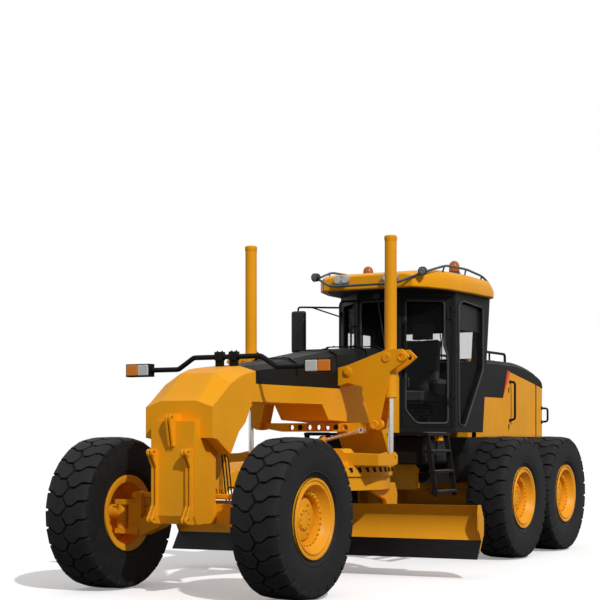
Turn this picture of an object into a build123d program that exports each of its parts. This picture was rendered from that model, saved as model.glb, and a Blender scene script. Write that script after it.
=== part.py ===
# Motor grader: six-wheel articulated road grader, sizes in millimetres.
# X points forward, Y to the machine's left and Z up, with the ground at Z = 0.
from build123d import *
import os

os.makedirs("parts", exist_ok=True)


# Driving dimensions of the whole machine
TYRE_RADIUS = 765
TYRE_WIDTH = 500
WHEEL_TRACK = 2140
WHEELBASE = 6122          # front axle to the middle of the tandems
TANDEM_SPACING = 1542     # between the two rear wheels on one side
REAR_OVERHANG = 2048      # from the middle of the tandems to the rear bumper
HITCH_SETBACK = 4750      # front axle to the articulation pin
SADDLE_SETBACK = 2400     # front axle to the saddle over the circle
CAB_SETBACK = 3850        # front axle to the windscreen
RUNNING_GAP = 0.5         # between faces that turn or slide on each other
SIDE_GAP = 6              # beside an eye, lug or arm that swings
PIN_GAP = 0.3             # around a pin in its bore

# Stations along the machine, with the origin under the middle of its length
FRONT_X = (WHEELBASE + REAR_OVERHANG - TYRE_RADIUS) / 2
HITCH_X = FRONT_X - HITCH_SETBACK
SADDLE_X = FRONT_X - SADDLE_SETBACK
CAB_X = FRONT_X - CAB_SETBACK
TANDEM_X = FRONT_X - WHEELBASE
REAR_X = TANDEM_X - REAR_OVERHANG
WHEEL_Y = WHEEL_TRACK / 2
SIDES = {"left": 1, "right": -1}


def save(piece, name):
    """Label a finished piece and write it."""
    piece.part.label = name
    export_step(piece.part, f"parts/{name}.step")


def moved(outline, x=0, z=0):
    """Outline points shifted along the machine and up."""
    return [(x + px, z + pz) for px, pz in outline]


def face_of(outline, plane):
    """A flat face from corner points on a plane."""
    with BuildSketch(plane) as profile:
        with BuildLine():
            Polyline(*outline, close=True)
        make_face()
    return profile.sketch


def side_slab(outline, y_from, y_to, mode=Mode.ADD):
    """Add a plate with an X-Z outline between two Y places."""
    low, high = min(y_from, y_to), max(y_from, y_to)
    extrude(face_of(outline, Plane.XZ.offset(-high)), amount=high - low, mode=mode)


def cross_slab(outline, x_from, x_to, mode=Mode.ADD):
    """Add a plate with a Y-Z outline between two X places."""
    low, high = min(x_from, x_to), max(x_from, x_to)
    extrude(face_of(outline, Plane.YZ.offset(low)), amount=high - low, mode=mode)


def plan_slab(outline, z_from, z_to, mode=Mode.ADD):
    """Add a plate with an X-Y outline between two heights."""
    low, high = min(z_from, z_to), max(z_from, z_to)
    extrude(face_of(outline, Plane.XY.offset(low)), amount=high - low, mode=mode)


def disc_y(x, z, y_from, y_to, radius, mode=Mode.ADD):
    """Add a round bar or bore along Y."""
    low, high = min(y_from, y_to), max(y_from, y_to)
    with BuildSketch(Plane.XZ.offset(-high)) as ring:
        with Locations((x, z)):
            Circle(radius)
    extrude(ring.sketch, amount=high - low, mode=mode)


def disc_x(y, z, x_from, x_to, radius, mode=Mode.ADD):
    """Add a round bar or bore along X."""
    low, high = min(x_from, x_to), max(x_from, x_to)
    with BuildSketch(Plane.YZ.offset(low)) as ring:
        with Locations((y, z)):
            Circle(radius)
    extrude(ring.sketch, amount=high - low, mode=mode)


def disc_z(x, y, z_from, z_to, radius, mode=Mode.ADD):
    """Add a round bar or bore along Z."""
    low, high = min(z_from, z_to), max(z_from, z_to)
    with BuildSketch(Plane.XY.offset(low)) as ring:
        with Locations((x, y)):
            Circle(radius)
    extrude(ring.sketch, amount=high - low, mode=mode)


def bar(start, end, radius, mode=Mode.ADD):
    """Add a round bar between two points in space."""
    line = Vector(*end) - Vector(*start)
    with BuildSketch(Plane(origin=start, z_dir=line)) as ring:
        Circle(radius)
    extrude(ring.sketch, amount=line.length, mode=mode)


def block(x_from, x_to, y_from, y_to, z_from, z_to, mode=Mode.ADD):
    """Add a straight block between two corners."""
    plan_slab([(x_from, y_from), (x_to, y_from), (x_to, y_to), (x_from, y_to)],
              z_from, z_to, mode)


# Wheels: a tubeless rim with a deep dish, and a block-tread tyre
RIM_SEAT_RADIUS = 330
RIM_FLANGE_RADIUS = 386
RIM_WALL = 22
RIM_OVERHANG = 20         # how far the rim stands out past the tyre's inner side
RIM_DISH_DEPTH = 190
DISC_THICKNESS = 30
RIM_LIP_DEPTH = 34
RIM_LIP_RADIUS = 300
LEDGE_DEPTH = 88          # ledge in the dish that carries the ring of wheel nuts
LEDGE_OUTER = 262
LEDGE_INNER = 226
HUB_RADIUS = 200
HUB_LENGTH = 60
TYRE_SHOULDER = 60
TYRE_BELLY = 18           # how much the bead is narrower than the tread
TREAD_DEPTH = 23
TREAD_LUGS = 18           # in each of the two staggered rows
TREAD_GROOVE = 0.3        # share of the pitch left open at the tip of the lugs

WHEELS = [
    # name, X of the axle
    ("front", FRONT_X),
    ("middle", TANDEM_X + TANDEM_SPACING / 2),
    ("rear", TANDEM_X - TANDEM_SPACING / 2),
]

rim_outer_y = WHEEL_Y + TYRE_WIDTH / 2 - RIM_OVERHANG
rim_inner_y = WHEEL_Y - TYRE_WIDTH / 2 - RIM_OVERHANG / 2
tyre_outer_y = WHEEL_Y + TYRE_WIDTH / 2
tyre_inner_y = WHEEL_Y - TYRE_WIDTH / 2
disc_outer_y = rim_outer_y - RIM_DISH_DEPTH
disc_inner_y = disc_outer_y - DISC_THICKNESS
rim_bore = RIM_SEAT_RADIUS - RIM_WALL
flange_bore = RIM_FLANGE_RADIUS - RIM_WALL
tread_root = TYRE_RADIUS - TREAD_DEPTH


def lug_outline(turn):
    """Outline of one row of lugs about the wheel's axle, turned by a share of the pitch."""
    pitch = 360 / TREAD_LUGS
    corners = [
        # radius, share of the pitch
        (tread_root - 8, TREAD_GROOVE / 4), (TYRE_RADIUS, TREAD_GROOVE / 2),
        (TYRE_RADIUS, 1 - TREAD_GROOVE / 2), (tread_root - 8, 1 - TREAD_GROOVE / 4),
    ]
    return [Vector(radius, 0).rotate(Axis.Z, (lug + share + turn) * pitch)
            for lug in range(TREAD_LUGS) for radius, share in corners]


for place, axle_x in WHEELS:
    for side, sign in SIDES.items():
        # half section of the rim: radius, distance from the middle of the machine
        rim_section = [
            (0, disc_inner_y),
            (rim_bore, disc_inner_y),
            (rim_bore, rim_inner_y + RIM_WALL),
            (flange_bore, rim_inner_y),
            (RIM_FLANGE_RADIUS, rim_inner_y),
            (RIM_FLANGE_RADIUS, tyre_inner_y + TYRE_BELLY),
            (RIM_SEAT_RADIUS, tyre_inner_y + TYRE_BELLY),
            (RIM_SEAT_RADIUS, tyre_outer_y - TYRE_BELLY - RIM_OVERHANG),
            (RIM_FLANGE_RADIUS, tyre_outer_y - TYRE_BELLY - RIM_OVERHANG),
            (RIM_FLANGE_RADIUS, rim_outer_y),
            (RIM_SEAT_RADIUS, rim_outer_y),
            (RIM_LIP_RADIUS, rim_outer_y - RIM_LIP_DEPTH),
            (LEDGE_OUTER, rim_outer_y - LEDGE_DEPTH),
            (LEDGE_INNER, rim_outer_y - LEDGE_DEPTH),
            (LEDGE_INNER, disc_outer_y),
            (HUB_RADIUS, disc_outer_y),
            (HUB_RADIUS, disc_outer_y + HUB_LENGTH),
            (0, disc_outer_y + HUB_LENGTH),
        ]
        with BuildPart() as rim:
            with BuildSketch(Plane((axle_x, 0, TYRE_RADIUS), x_dir=(1, 0, 0), z_dir=(0, 0, sign))):
                with BuildLine():
                    Polyline(*rim_section, close=True)
                make_face()
            revolve(axis=Axis((axle_x, 0, TYRE_RADIUS), (0, 1, 0)))
        save(rim, f"rim_{place}_{side}")

        tyre_section = [
            (RIM_SEAT_RADIUS, tyre_inner_y + TYRE_BELLY),
            (RIM_FLANGE_RADIUS, tyre_inner_y + TYRE_BELLY),
            (RIM_FLANGE_RADIUS + TYRE_SHOULDER, tyre_inner_y),
            (TYRE_RADIUS - TYRE_SHOULDER, tyre_inner_y),
            (tread_root, tyre_inner_y + TYRE_SHOULDER),
            (tread_root, tyre_outer_y - TYRE_SHOULDER),
            (TYRE_RADIUS - TYRE_SHOULDER, tyre_outer_y),
            (RIM_FLANGE_RADIUS + TYRE_SHOULDER, tyre_outer_y),
            (RIM_FLANGE_RADIUS, tyre_outer_y - TYRE_BELLY - RIM_OVERHANG),
            (RIM_SEAT_RADIUS, tyre_outer_y - TYRE_BELLY - RIM_OVERHANG),
        ]
        with BuildPart() as tyre:
            with BuildSketch(Plane((axle_x, 0, TYRE_RADIUS), x_dir=(1, 0, 0), z_dir=(0, 0, sign))):
                with BuildLine():
                    Polyline(*tyre_section, close=True)
                make_face()
            revolve(axis=Axis((axle_x, 0, TYRE_RADIUS), (0, 1, 0)))
            tread_rows = [
                # distance from the middle of the machine, from and to; turn
                (tyre_inner_y + TYRE_SHOULDER, WHEEL_Y, 0), (WHEEL_Y, tyre_outer_y - TYRE_SHOULDER, 0.5),
            ]
            for near_y, far_y, turn in tread_rows:
                row_plane = Plane((axle_x, sign * near_y, TYRE_RADIUS), x_dir=(1, 0, 0), z_dir=(0, sign, 0))
                with BuildSketch(row_plane):
                    with BuildLine():
                        Polyline(*lug_outline(turn), close=True)
                    make_face()
                    Circle(tread_root - 30, mode=Mode.SUBTRACT)
                extrude(amount=far_y - near_y)
        save(tyre, f"tyre_{place}_{side}")


# Front axle: a box beam whose forked ends carry the leaning, steered wheels
AXLE_DEPTH = 168          # along the machine
AXLE_TOP_Z = 880
AXLE_WAIST_Z = 690
AXLE_FOOT_Z = 640
AXLE_END_Y = 530
FORK_THICKNESS = 24
LEAN_PIVOT_Y = 700
LEAN_PIVOT_Z = 600
LEAN_PIN_RADIUS = 30
LEAN_BOSS_RADIUS = 58
KINGPIN_Y = 930
KINGPIN_RADIUS = 28
KNUCKLE_RADIUS = 55
KNUCKLE_FLANGE_RADIUS = 85
KNUCKLE_FLANGE = 15
YOKE_ARM = 50             # height of each arm of the kingpin yoke
YOKE_BOTTOM_Z = 560
YOKE_TOP_Z = 900
LEAN_EAR_Z = 950
LEAN_EYE_RADIUS = 40
LEAN_BAR_RADIUS = 28
LEAN_BAR_DEPTH = 46
STEER_ARM_LENGTH = 95
STEER_ARM_Z = 784
STEER_ARM_HALF = 16
STEER_SETBACK = 105       # front axle to the steering cylinders behind it
STEER_ROD_RADIUS = 16
STEER_BARREL_RADIUS = 30
STEER_Z = 836
STEER_PIN_Y = 160         # where each steering cylinder swings on the axle
STEER_PIN_RADIUS = 12
STEER_BARREL_OUTER_Y = 455
STEER_EYE_RADIUS = 28
STEER_LEDGE_Z = 765       # the ledge along the back of the axle below the cylinders

axle_half = AXLE_DEPTH / 2
fork_inner = axle_half - FORK_THICKNESS
yoke_half = fork_inner - SIDE_GAP
steer_line_x = FRONT_X - STEER_SETBACK
steer_ledge_x = steer_line_x + STEER_BARREL_RADIUS + SIDE_GAP
steer_eye_half = 20

with BuildPart() as front_axle:
    beam = [
        (-AXLE_END_Y, AXLE_TOP_Z), (AXLE_END_Y, AXLE_TOP_Z), (AXLE_END_Y + 85, AXLE_FOOT_Z),
        (AXLE_END_Y - 100, AXLE_FOOT_Z), (AXLE_END_Y - 200, AXLE_WAIST_Z),
        (200 - AXLE_END_Y, AXLE_WAIST_Z), (100 - AXLE_END_Y, AXLE_FOOT_Z),
        (-AXLE_END_Y - 85, AXLE_FOOT_Z),
    ]
    cross_slab(beam, FRONT_X - axle_half, FRONT_X + axle_half)
    for sign in SIDES.values():
        fork = [
            (sign * (AXLE_END_Y - 110), STEER_LEDGE_Z), (sign * (AXLE_END_Y + 30), STEER_LEDGE_Z),
            (sign * (LEAN_PIVOT_Y + LEAN_BOSS_RADIUS), LEAN_PIVOT_Z + 40),
            (sign * (LEAN_PIVOT_Y + LEAN_BOSS_RADIUS), LEAN_PIVOT_Z - 40),
            (sign * (LEAN_PIVOT_Y - LEAN_BOSS_RADIUS), LEAN_PIVOT_Z - 50),
            (sign * (AXLE_END_Y - 110), AXLE_FOOT_Z),
        ]
        for face in (-1, 1):
            cross_slab(fork, FRONT_X + face * fork_inner, FRONT_X + face * axle_half)
        disc_x(sign * LEAN_PIVOT_Y, LEAN_PIVOT_Z, FRONT_X - axle_half - 4, FRONT_X + axle_half + 4,
               LEAN_PIN_RADIUS)
    # ledge for the steering cylinders, and the stub pins that they swing on
    block(FRONT_X - axle_half, steer_ledge_x, -AXLE_END_Y, AXLE_END_Y, STEER_LEDGE_Z, AXLE_TOP_Z,
          Mode.SUBTRACT)
    for sign in SIDES.values():
        disc_x(sign * STEER_PIN_Y, STEER_Z, steer_line_x - steer_eye_half - 6, steer_ledge_x,
               STEER_PIN_RADIUS)
save(front_axle, "front_axle")

for side, sign in SIDES.items():
    with BuildPart() as lean_housing:
        disc_x(sign * LEAN_PIVOT_Y, LEAN_PIVOT_Z, FRONT_X - yoke_half, FRONT_X + yoke_half,
               LEAN_BOSS_RADIUS)
        ear = [
            (sign * (LEAN_PIVOT_Y - LEAN_EYE_RADIUS), LEAN_PIVOT_Z),
            (sign * (LEAN_PIVOT_Y + LEAN_EYE_RADIUS), LEAN_PIVOT_Z),
            (sign * (LEAN_PIVOT_Y + LEAN_EYE_RADIUS), LEAN_EAR_Z),
            (sign * (LEAN_PIVOT_Y - LEAN_EYE_RADIUS), LEAN_EAR_Z),
        ]
        cross_slab(ear, FRONT_X + SIDE_GAP, FRONT_X + yoke_half)
        disc_x(sign * LEAN_PIVOT_Y, LEAN_EAR_Z, FRONT_X + SIDE_GAP, FRONT_X + yoke_half,
               LEAN_EYE_RADIUS)
        yoke = [
            (sign * LEAN_PIVOT_Y, LEAN_PIVOT_Z), (sign * (LEAN_PIVOT_Y + 60), YOKE_BOTTOM_Z),
            (sign * (KINGPIN_Y + KNUCKLE_RADIUS), YOKE_BOTTOM_Z),
            (sign * (KINGPIN_Y + KNUCKLE_RADIUS), YOKE_BOTTOM_Z + YOKE_ARM),
            (sign * (LEAN_PIVOT_Y + 115), YOKE_BOTTOM_Z + YOKE_ARM),
            (sign * (LEAN_PIVOT_Y + 115), YOKE_TOP_Z - YOKE_ARM),
            (sign * (KINGPIN_Y + KNUCKLE_RADIUS), YOKE_TOP_Z - YOKE_ARM),
            (sign * (KINGPIN_Y + KNUCKLE_RADIUS), YOKE_TOP_Z),
            (sign * (LEAN_PIVOT_Y + 60), YOKE_TOP_Z), (sign * LEAN_PIVOT_Y, YOKE_TOP_Z - 130),
        ]
        cross_slab(yoke, FRONT_X - yoke_half, FRONT_X + yoke_half)
        disc_x(sign * LEAN_PIVOT_Y, LEAN_PIVOT_Z, FRONT_X - yoke_half, FRONT_X + yoke_half,
               LEAN_PIN_RADIUS + PIN_GAP, Mode.SUBTRACT)
        disc_z(FRONT_X, sign * KINGPIN_Y, YOKE_BOTTOM_Z, YOKE_TOP_Z, KINGPIN_RADIUS + PIN_GAP,
               Mode.SUBTRACT)
        disc_x(sign * LEAN_PIVOT_Y, LEAN_EAR_Z, FRONT_X + SIDE_GAP, FRONT_X + yoke_half, 16 + PIN_GAP,
               Mode.SUBTRACT)
    save(lean_housing, f"lean_housing_{side}")

    with BuildPart() as knuckle:
        disc_z(FRONT_X, sign * KINGPIN_Y, YOKE_BOTTOM_Z, YOKE_TOP_Z, KINGPIN_RADIUS)
        disc_z(FRONT_X, sign * KINGPIN_Y, YOKE_BOTTOM_Z + YOKE_ARM + RUNNING_GAP,
               YOKE_TOP_Z - YOKE_ARM - RUNNING_GAP, KNUCKLE_RADIUS)
        disc_y(FRONT_X, TYRE_RADIUS, sign * KINGPIN_Y, sign * (disc_inner_y - RUNNING_GAP), 60)
        disc_y(FRONT_X, TYRE_RADIUS, sign * (disc_inner_y - KNUCKLE_FLANGE),
               sign * (disc_inner_y - RUNNING_GAP), KNUCKLE_FLANGE_RADIUS)
        arm_low_z, arm_high_z = STEER_ARM_Z - STEER_ARM_HALF, STEER_ARM_Z + STEER_ARM_HALF
        block(FRONT_X - STEER_ARM_LENGTH, FRONT_X, sign * (KINGPIN_Y - STEER_ARM_HALF),
              sign * (KINGPIN_Y + STEER_ARM_HALF), arm_low_z, arm_high_z)
        disc_z(FRONT_X - STEER_ARM_LENGTH, sign * KINGPIN_Y, arm_low_z, arm_high_z, STEER_EYE_RADIUS - 2)
    save(knuckle, f"knuckle_{side}")

    with BuildPart() as steer_barrel:
        disc_y(steer_line_x, STEER_Z, sign * (STEER_PIN_Y + STEER_EYE_RADIUS / 2),
               sign * STEER_BARREL_OUTER_Y, STEER_BARREL_RADIUS)
        disc_x(sign * STEER_PIN_Y, STEER_Z, steer_line_x - steer_eye_half,
               steer_line_x + steer_eye_half, STEER_EYE_RADIUS)
        disc_x(sign * STEER_PIN_Y, STEER_Z, steer_line_x - steer_eye_half,
               steer_line_x + steer_eye_half, STEER_PIN_RADIUS + PIN_GAP, Mode.SUBTRACT)
        disc_y(steer_line_x, STEER_Z, sign * (STEER_PIN_Y + 1.5 * STEER_EYE_RADIUS),
               sign * STEER_BARREL_OUTER_Y, STEER_ROD_RADIUS + PIN_GAP, Mode.SUBTRACT)
    save(steer_barrel, f"steer_barrel_{side}")

    with BuildPart() as steer_rod:
        disc_y(steer_line_x, STEER_Z, sign * (STEER_PIN_Y + 4 * STEER_EYE_RADIUS),
               sign * (KINGPIN_Y - STEER_EYE_RADIUS / 2), STEER_ROD_RADIUS)
        disc_z(steer_line_x, sign * KINGPIN_Y, STEER_Z - STEER_ROD_RADIUS, STEER_Z + STEER_ROD_RADIUS,
               STEER_EYE_RADIUS)
        disc_z(steer_line_x, sign * KINGPIN_Y, STEER_Z - STEER_ROD_RADIUS, STEER_Z + STEER_ROD_RADIUS,
               STEER_PIN_RADIUS, Mode.SUBTRACT)
    save(steer_rod, f"steer_rod_{side}")

with BuildPart() as lean_bar:
    disc_y(FRONT_X - LEAN_BAR_DEPTH / 2, LEAN_EAR_Z, -LEAN_PIVOT_Y, LEAN_PIVOT_Y, LEAN_BAR_RADIUS)
    split(bisect_by=Plane.YZ.offset(FRONT_X), keep=Keep.BOTTOM)
    for sign in SIDES.values():
        disc_x(sign * LEAN_PIVOT_Y, LEAN_EAR_Z, FRONT_X - LEAN_BAR_DEPTH, FRONT_X, LEAN_EYE_RADIUS)
        disc_x(sign * LEAN_PIVOT_Y, LEAN_EAR_Z, FRONT_X, FRONT_X + yoke_half, 16)
save(lean_bar, "lean_bar")


# Front frame: nose box, goose-neck beam and the forward half of the hitch, one weldment
NOSE_HALF_WIDTH = 385
NECK_HALF_WIDTH = 300
RIDGE_HALF_WIDTH = 200
NECK_BOTTOM_Z = 1880
NECK_TOP_Z = 2060
REAR_NECK_TOP_Z = 2300
NOSE_FRONT = 350          # ahead of the front axle
NOSE_REAR = -430
HITCH_BOTTOM_Z = 880
HITCH_LUG = 60            # thickness of each hitch lug
HITCH_TONGUE = 130
HITCH_LUG_RADIUS = 120
HITCH_PIN_RADIUS = 45
HITCH_HALF_WIDTH = 190
TAIL_TOP_Z = 1540         # where the tail under the cab starts to fall to the hitch
BOLSTER_HALF_WIDTH = 250
BOLSTER_FRONT = 450
BOLSTER_TOP_Z = 1680
BOLSTER_BOTTOM_Z = 700
DRAWBAR_PIN_X = FRONT_X - 250
DRAWBAR_PIN_Z = 1000
DRAWBAR_PIN_RADIUS = 30
DRAWBAR_EYE_RADIUS = 90
DRAWBAR_EYE_HALF = 60
DRAWBAR_CHEEK = 45

hitch_tongue_z = HITCH_BOTTOM_Z + HITCH_LUG + RUNNING_GAP
hitch_top_z = hitch_tongue_z + HITCH_TONGUE + RUNNING_GAP + HITCH_LUG
tail_end_x = 30 + HITCH_LUG_RADIUS - HITCH_SETBACK
tail_start_x = 20 - CAB_SETBACK


def ridge_at(stations, x):
    """Height of the ridge at a place between two stations."""
    for ahead, behind in zip(stations, stations[1:]):
        if behind[0] <= x <= ahead[0]:
            share = (ahead[0] - x) / (ahead[0] - behind[0])
            return ahead[3] + share * (behind[3] - ahead[3])


def ridged_loft(stations, half_width, ridge_half):
    """Loft straight panels through sections: X, bottom Z, side edge Z, ridge Z."""
    sections = []
    for x, bottom, edge, ridge in stations:
        outline = [(-half_width, bottom), (half_width, bottom), (half_width, edge),
                   (ridge_half, ridge), (-ridge_half, ridge), (-half_width, edge)]
        sections.append(face_of(outline, Plane.YZ.offset(FRONT_X + x)))
    loft(sections=sections, ruled=True)


NOSE_STATIONS = [
    # X ahead of the axle, bottom Z, side edge Z, ridge Z
    (NOSE_FRONT, 1520, 1815, 1875),
    (270, 1510, 1865, 1935),
    (30, 1360, 2040, 2150),
    (-120, 1580, 2108, 2198),
    (-240, 1670, 2145, 2215),
    (NOSE_REAR, 1990, 2180, 2235),
]
neck_outline = [
    # X ahead of the axle, Z
    (NOSE_REAR + 90, NECK_BOTTOM_Z), (470 - SADDLE_SETBACK, NECK_BOTTOM_Z),
    (320 - SADDLE_SETBACK, 1712), (-100 - SADDLE_SETBACK, 1697), (510 - CAB_SETBACK, 1640),
    (210 - CAB_SETBACK, 1180), (500 - HITCH_SETBACK, HITCH_BOTTOM_Z),
    (tail_end_x, HITCH_BOTTOM_Z), (tail_end_x, hitch_top_z), (tail_start_x, TAIL_TOP_Z),
    (tail_start_x, REAR_NECK_TOP_Z - 60), (80 - CAB_SETBACK, REAR_NECK_TOP_Z),
    (60 - SADDLE_SETBACK, REAR_NECK_TOP_Z), (60 - SADDLE_SETBACK, NECK_TOP_Z),
    (NOSE_REAR + 90, NECK_TOP_Z),
]

with BuildPart() as front_frame:
    ridged_loft(NOSE_STATIONS, NOSE_HALF_WIDTH, RIDGE_HALF_WIDTH)
    side_slab(moved(neck_outline, FRONT_X), -NECK_HALF_WIDTH, NECK_HALF_WIDTH)
    # the tail narrows beside the hitch
    for sign in SIDES.values():
        block(HITCH_X + 500, HITCH_X - 400, sign * HITCH_HALF_WIDTH, sign * 2 * NECK_HALF_WIDTH,
              HITCH_BOTTOM_Z - 10, hitch_top_z + 200, Mode.SUBTRACT)
    for low in (HITCH_BOTTOM_Z, hitch_top_z - HITCH_LUG):
        disc_z(HITCH_X, 0, low, low + HITCH_LUG, HITCH_LUG_RADIUS)
        block(HITCH_X, HITCH_X + HITCH_LUG_RADIUS + 40, -HITCH_LUG_RADIUS, HITCH_LUG_RADIUS, low,
              low + HITCH_LUG)
    disc_z(HITCH_X, 0, HITCH_BOTTOM_Z - 20, hitch_top_z + 20, HITCH_PIN_RADIUS)
save(front_frame, "front_frame")

# Front bolster: the column that the front axle hangs on, with lugs for a front tool
LUG_PAIR_Y = 197
LUG_THICKNESS = 18
LUG_SLOT = 24
LUG_HOLE_X = FRONT_X + 525
LUG_TOP_HOLE_Z = 1380
LUG_LOW_HOLE_Z = 740
LUG_HOLE_RADIUS = 16
LUG_END_RADIUS = 36
CENTRE_LUG_HOLE_Z = 1710
CENTRE_LUG_HOLE_X = FRONT_X + 500

# the column meets the underside of the nose box behind its front corner
bolster_seat_z = 1360 + (axle_half - 30) * (1510 - 1360) / (270 - 30)

with BuildPart() as front_bolster:
    column = [
        (axle_half, BOLSTER_BOTTOM_Z), (BOLSTER_FRONT - 40, BOLSTER_BOTTOM_Z),
        (BOLSTER_FRONT, BOLSTER_BOTTOM_Z + 80), (BOLSTER_FRONT, BOLSTER_TOP_Z),
        (NOSE_FRONT, BOLSTER_TOP_Z), (NOSE_FRONT, 1520), (270, 1510), (axle_half, bolster_seat_z),
    ]
    side_slab(moved(column, FRONT_X), -BOLSTER_HALF_WIDTH, BOLSTER_HALF_WIDTH)
    web = [
        (axle_half, bolster_seat_z), (30, 1360), (-120, 1580), (-240, 1670), (-330, 1821), (-365, 1250),
        (-340, DRAWBAR_PIN_Z), (-160, DRAWBAR_PIN_Z), (-130, 1030), (axle_half, 1030),
    ]
    cheek_y = DRAWBAR_EYE_HALF + SIDE_GAP + DRAWBAR_CHEEK
    side_slab(moved(web, FRONT_X), -cheek_y, cheek_y)
    disc_y(DRAWBAR_PIN_X, DRAWBAR_PIN_Z, -cheek_y, cheek_y, DRAWBAR_EYE_RADIUS)
    block(FRONT_X - 400, FRONT_X - 130, -DRAWBAR_EYE_HALF - SIDE_GAP, DRAWBAR_EYE_HALF + SIDE_GAP,
          DRAWBAR_PIN_Z - 120, DRAWBAR_PIN_Z + 180, Mode.SUBTRACT)
    disc_y(DRAWBAR_PIN_X, DRAWBAR_PIN_Z, -cheek_y - 12, cheek_y + 12, DRAWBAR_PIN_RADIUS)
    lug_x = LUG_HOLE_X - FRONT_X
    lug = [
        (BOLSTER_FRONT, LUG_TOP_HOLE_Z + 40), (lug_x, LUG_TOP_HOLE_Z + LUG_END_RADIUS),
        (lug_x + LUG_END_RADIUS, LUG_TOP_HOLE_Z), (480, LUG_TOP_HOLE_Z - 140),
        (480, LUG_LOW_HOLE_Z + 140), (lug_x + LUG_END_RADIUS, LUG_LOW_HOLE_Z),
        (lug_x, LUG_LOW_HOLE_Z - LUG_END_RADIUS), (BOLSTER_FRONT - 40, BOLSTER_BOTTOM_Z),
        (BOLSTER_FRONT - 40, LUG_LOW_HOLE_Z + 100), (BOLSTER_FRONT, LUG_LOW_HOLE_Z + 140),
    ]
    centre_x = CENTRE_LUG_HOLE_X - FRONT_X
    centre_lug = [
        (NOSE_FRONT, BOLSTER_TOP_Z), (BOLSTER_FRONT, BOLSTER_TOP_Z), (BOLSTER_FRONT, 1440),
        (BOLSTER_FRONT + 35, 1440), (centre_x + 42, CENTRE_LUG_HOLE_Z),
        (centre_x + 20, CENTRE_LUG_HOLE_Z + 42), (NOSE_FRONT, CENTRE_LUG_HOLE_Z + 42),
    ]
    for half in (-1, 1):
        inner = half * LUG_SLOT / 2
        outer = half * (LUG_SLOT / 2 + LUG_THICKNESS)
        for pair_y in (-LUG_PAIR_Y, LUG_PAIR_Y):
            side_slab(moved(lug, FRONT_X), pair_y + inner, pair_y + outer)
            for hole_z in (LUG_TOP_HOLE_Z, LUG_LOW_HOLE_Z):
                disc_y(LUG_HOLE_X, hole_z, pair_y + inner, pair_y + outer, LUG_END_RADIUS)
                disc_y(LUG_HOLE_X, hole_z, pair_y + inner, pair_y + outer, LUG_HOLE_RADIUS,
                       Mode.SUBTRACT)
        side_slab(moved(centre_lug, FRONT_X), inner, outer)
        disc_y(CENTRE_LUG_HOLE_X, CENTRE_LUG_HOLE_Z, inner, outer, LUG_HOLE_RADIUS, Mode.SUBTRACT)
save(front_bolster, "front_bolster")

# Cowl: sheet cover over the hoses along the top of the goose-neck
COWL_STATIONS = [
    # X ahead of the axle, bottom Z, side edge Z, ridge Z
    (NOSE_REAR, NECK_TOP_Z, 2180, 2235),
    (-900, NECK_TOP_Z, 2225, 2275),
    (-1560, NECK_TOP_Z, 2315, 2370),
    (60 - SADDLE_SETBACK, NECK_TOP_Z, 2435, 2490),
]
COWL_REAR_STATIONS = [
    (60 - SADDLE_SETBACK, REAR_NECK_TOP_Z, 2435, 2490),
    (-3000, REAR_NECK_TOP_Z, 2495, 2550),
    (80 - CAB_SETBACK, REAR_NECK_TOP_Z, 2525, 2580),
]
with BuildPart() as frame_cowl:
    ridged_loft(COWL_STATIONS, NECK_HALF_WIDTH, RIDGE_HALF_WIDTH)
    ridged_loft(COWL_REAR_STATIONS, NECK_HALF_WIDTH, RIDGE_HALF_WIDTH)
save(frame_cowl, "frame_cowl")

# Light bar: bent tube on two posts, a lamp box at each end
LIGHT_SETBACK = 500
LIGHT_POST_Y = 85
LIGHT_POST_HALF = 45
LIGHT_TUBE_RADIUS = 26
LIGHT_MIDDLE_Z = 2335
LIGHT_END_Z = 2220
LAMP_INNER_Y = 930
LAMP_OUTER_Y = 1220
LAMP_HALF_HEIGHT = 63
LAMP_HALF_DEPTH = 45

LIGHT_X = FRONT_X - LIGHT_SETBACK
post_foot = [
    (-LIGHT_SETBACK - 15, ridge_at(COWL_STATIONS, -LIGHT_SETBACK - 15)),
    (-LIGHT_SETBACK + 15, ridge_at(COWL_STATIONS, -LIGHT_SETBACK + 15)),
    (-LIGHT_SETBACK + 15, LIGHT_MIDDLE_Z + 15), (-LIGHT_SETBACK - 15, LIGHT_MIDDLE_Z + 15),
]

with BuildPart() as light_bar:
    with BuildLine() as tube_path:
        FilletPolyline((LIGHT_X, -LAMP_INNER_Y - 20, LIGHT_END_Z), (LIGHT_X, -590, LIGHT_END_Z),
                       (LIGHT_X, -400, LIGHT_MIDDLE_Z), (LIGHT_X, 400, LIGHT_MIDDLE_Z),
                       (LIGHT_X, 590, LIGHT_END_Z), (LIGHT_X, LAMP_INNER_Y + 20, LIGHT_END_Z),
                       radius=80)
    with BuildSketch(Plane.XZ.offset(LAMP_INNER_Y + 20)):
        with Locations((LIGHT_X, LIGHT_END_Z)):
            Circle(LIGHT_TUBE_RADIUS)
    sweep(path=tube_path.line)
    for sign in SIDES.values():
        side_slab(moved(post_foot, FRONT_X), sign * (LIGHT_POST_Y - LIGHT_POST_HALF),
                  sign * (LIGHT_POST_Y + LIGHT_POST_HALF))
        block(LIGHT_X - LAMP_HALF_DEPTH, LIGHT_X + LAMP_HALF_DEPTH, sign * LAMP_INNER_Y,
              sign * LAMP_OUTER_Y, LIGHT_END_Z - LAMP_HALF_HEIGHT, LIGHT_END_Z + LAMP_HALF_HEIGHT)
save(light_bar, "light_bar")


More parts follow.
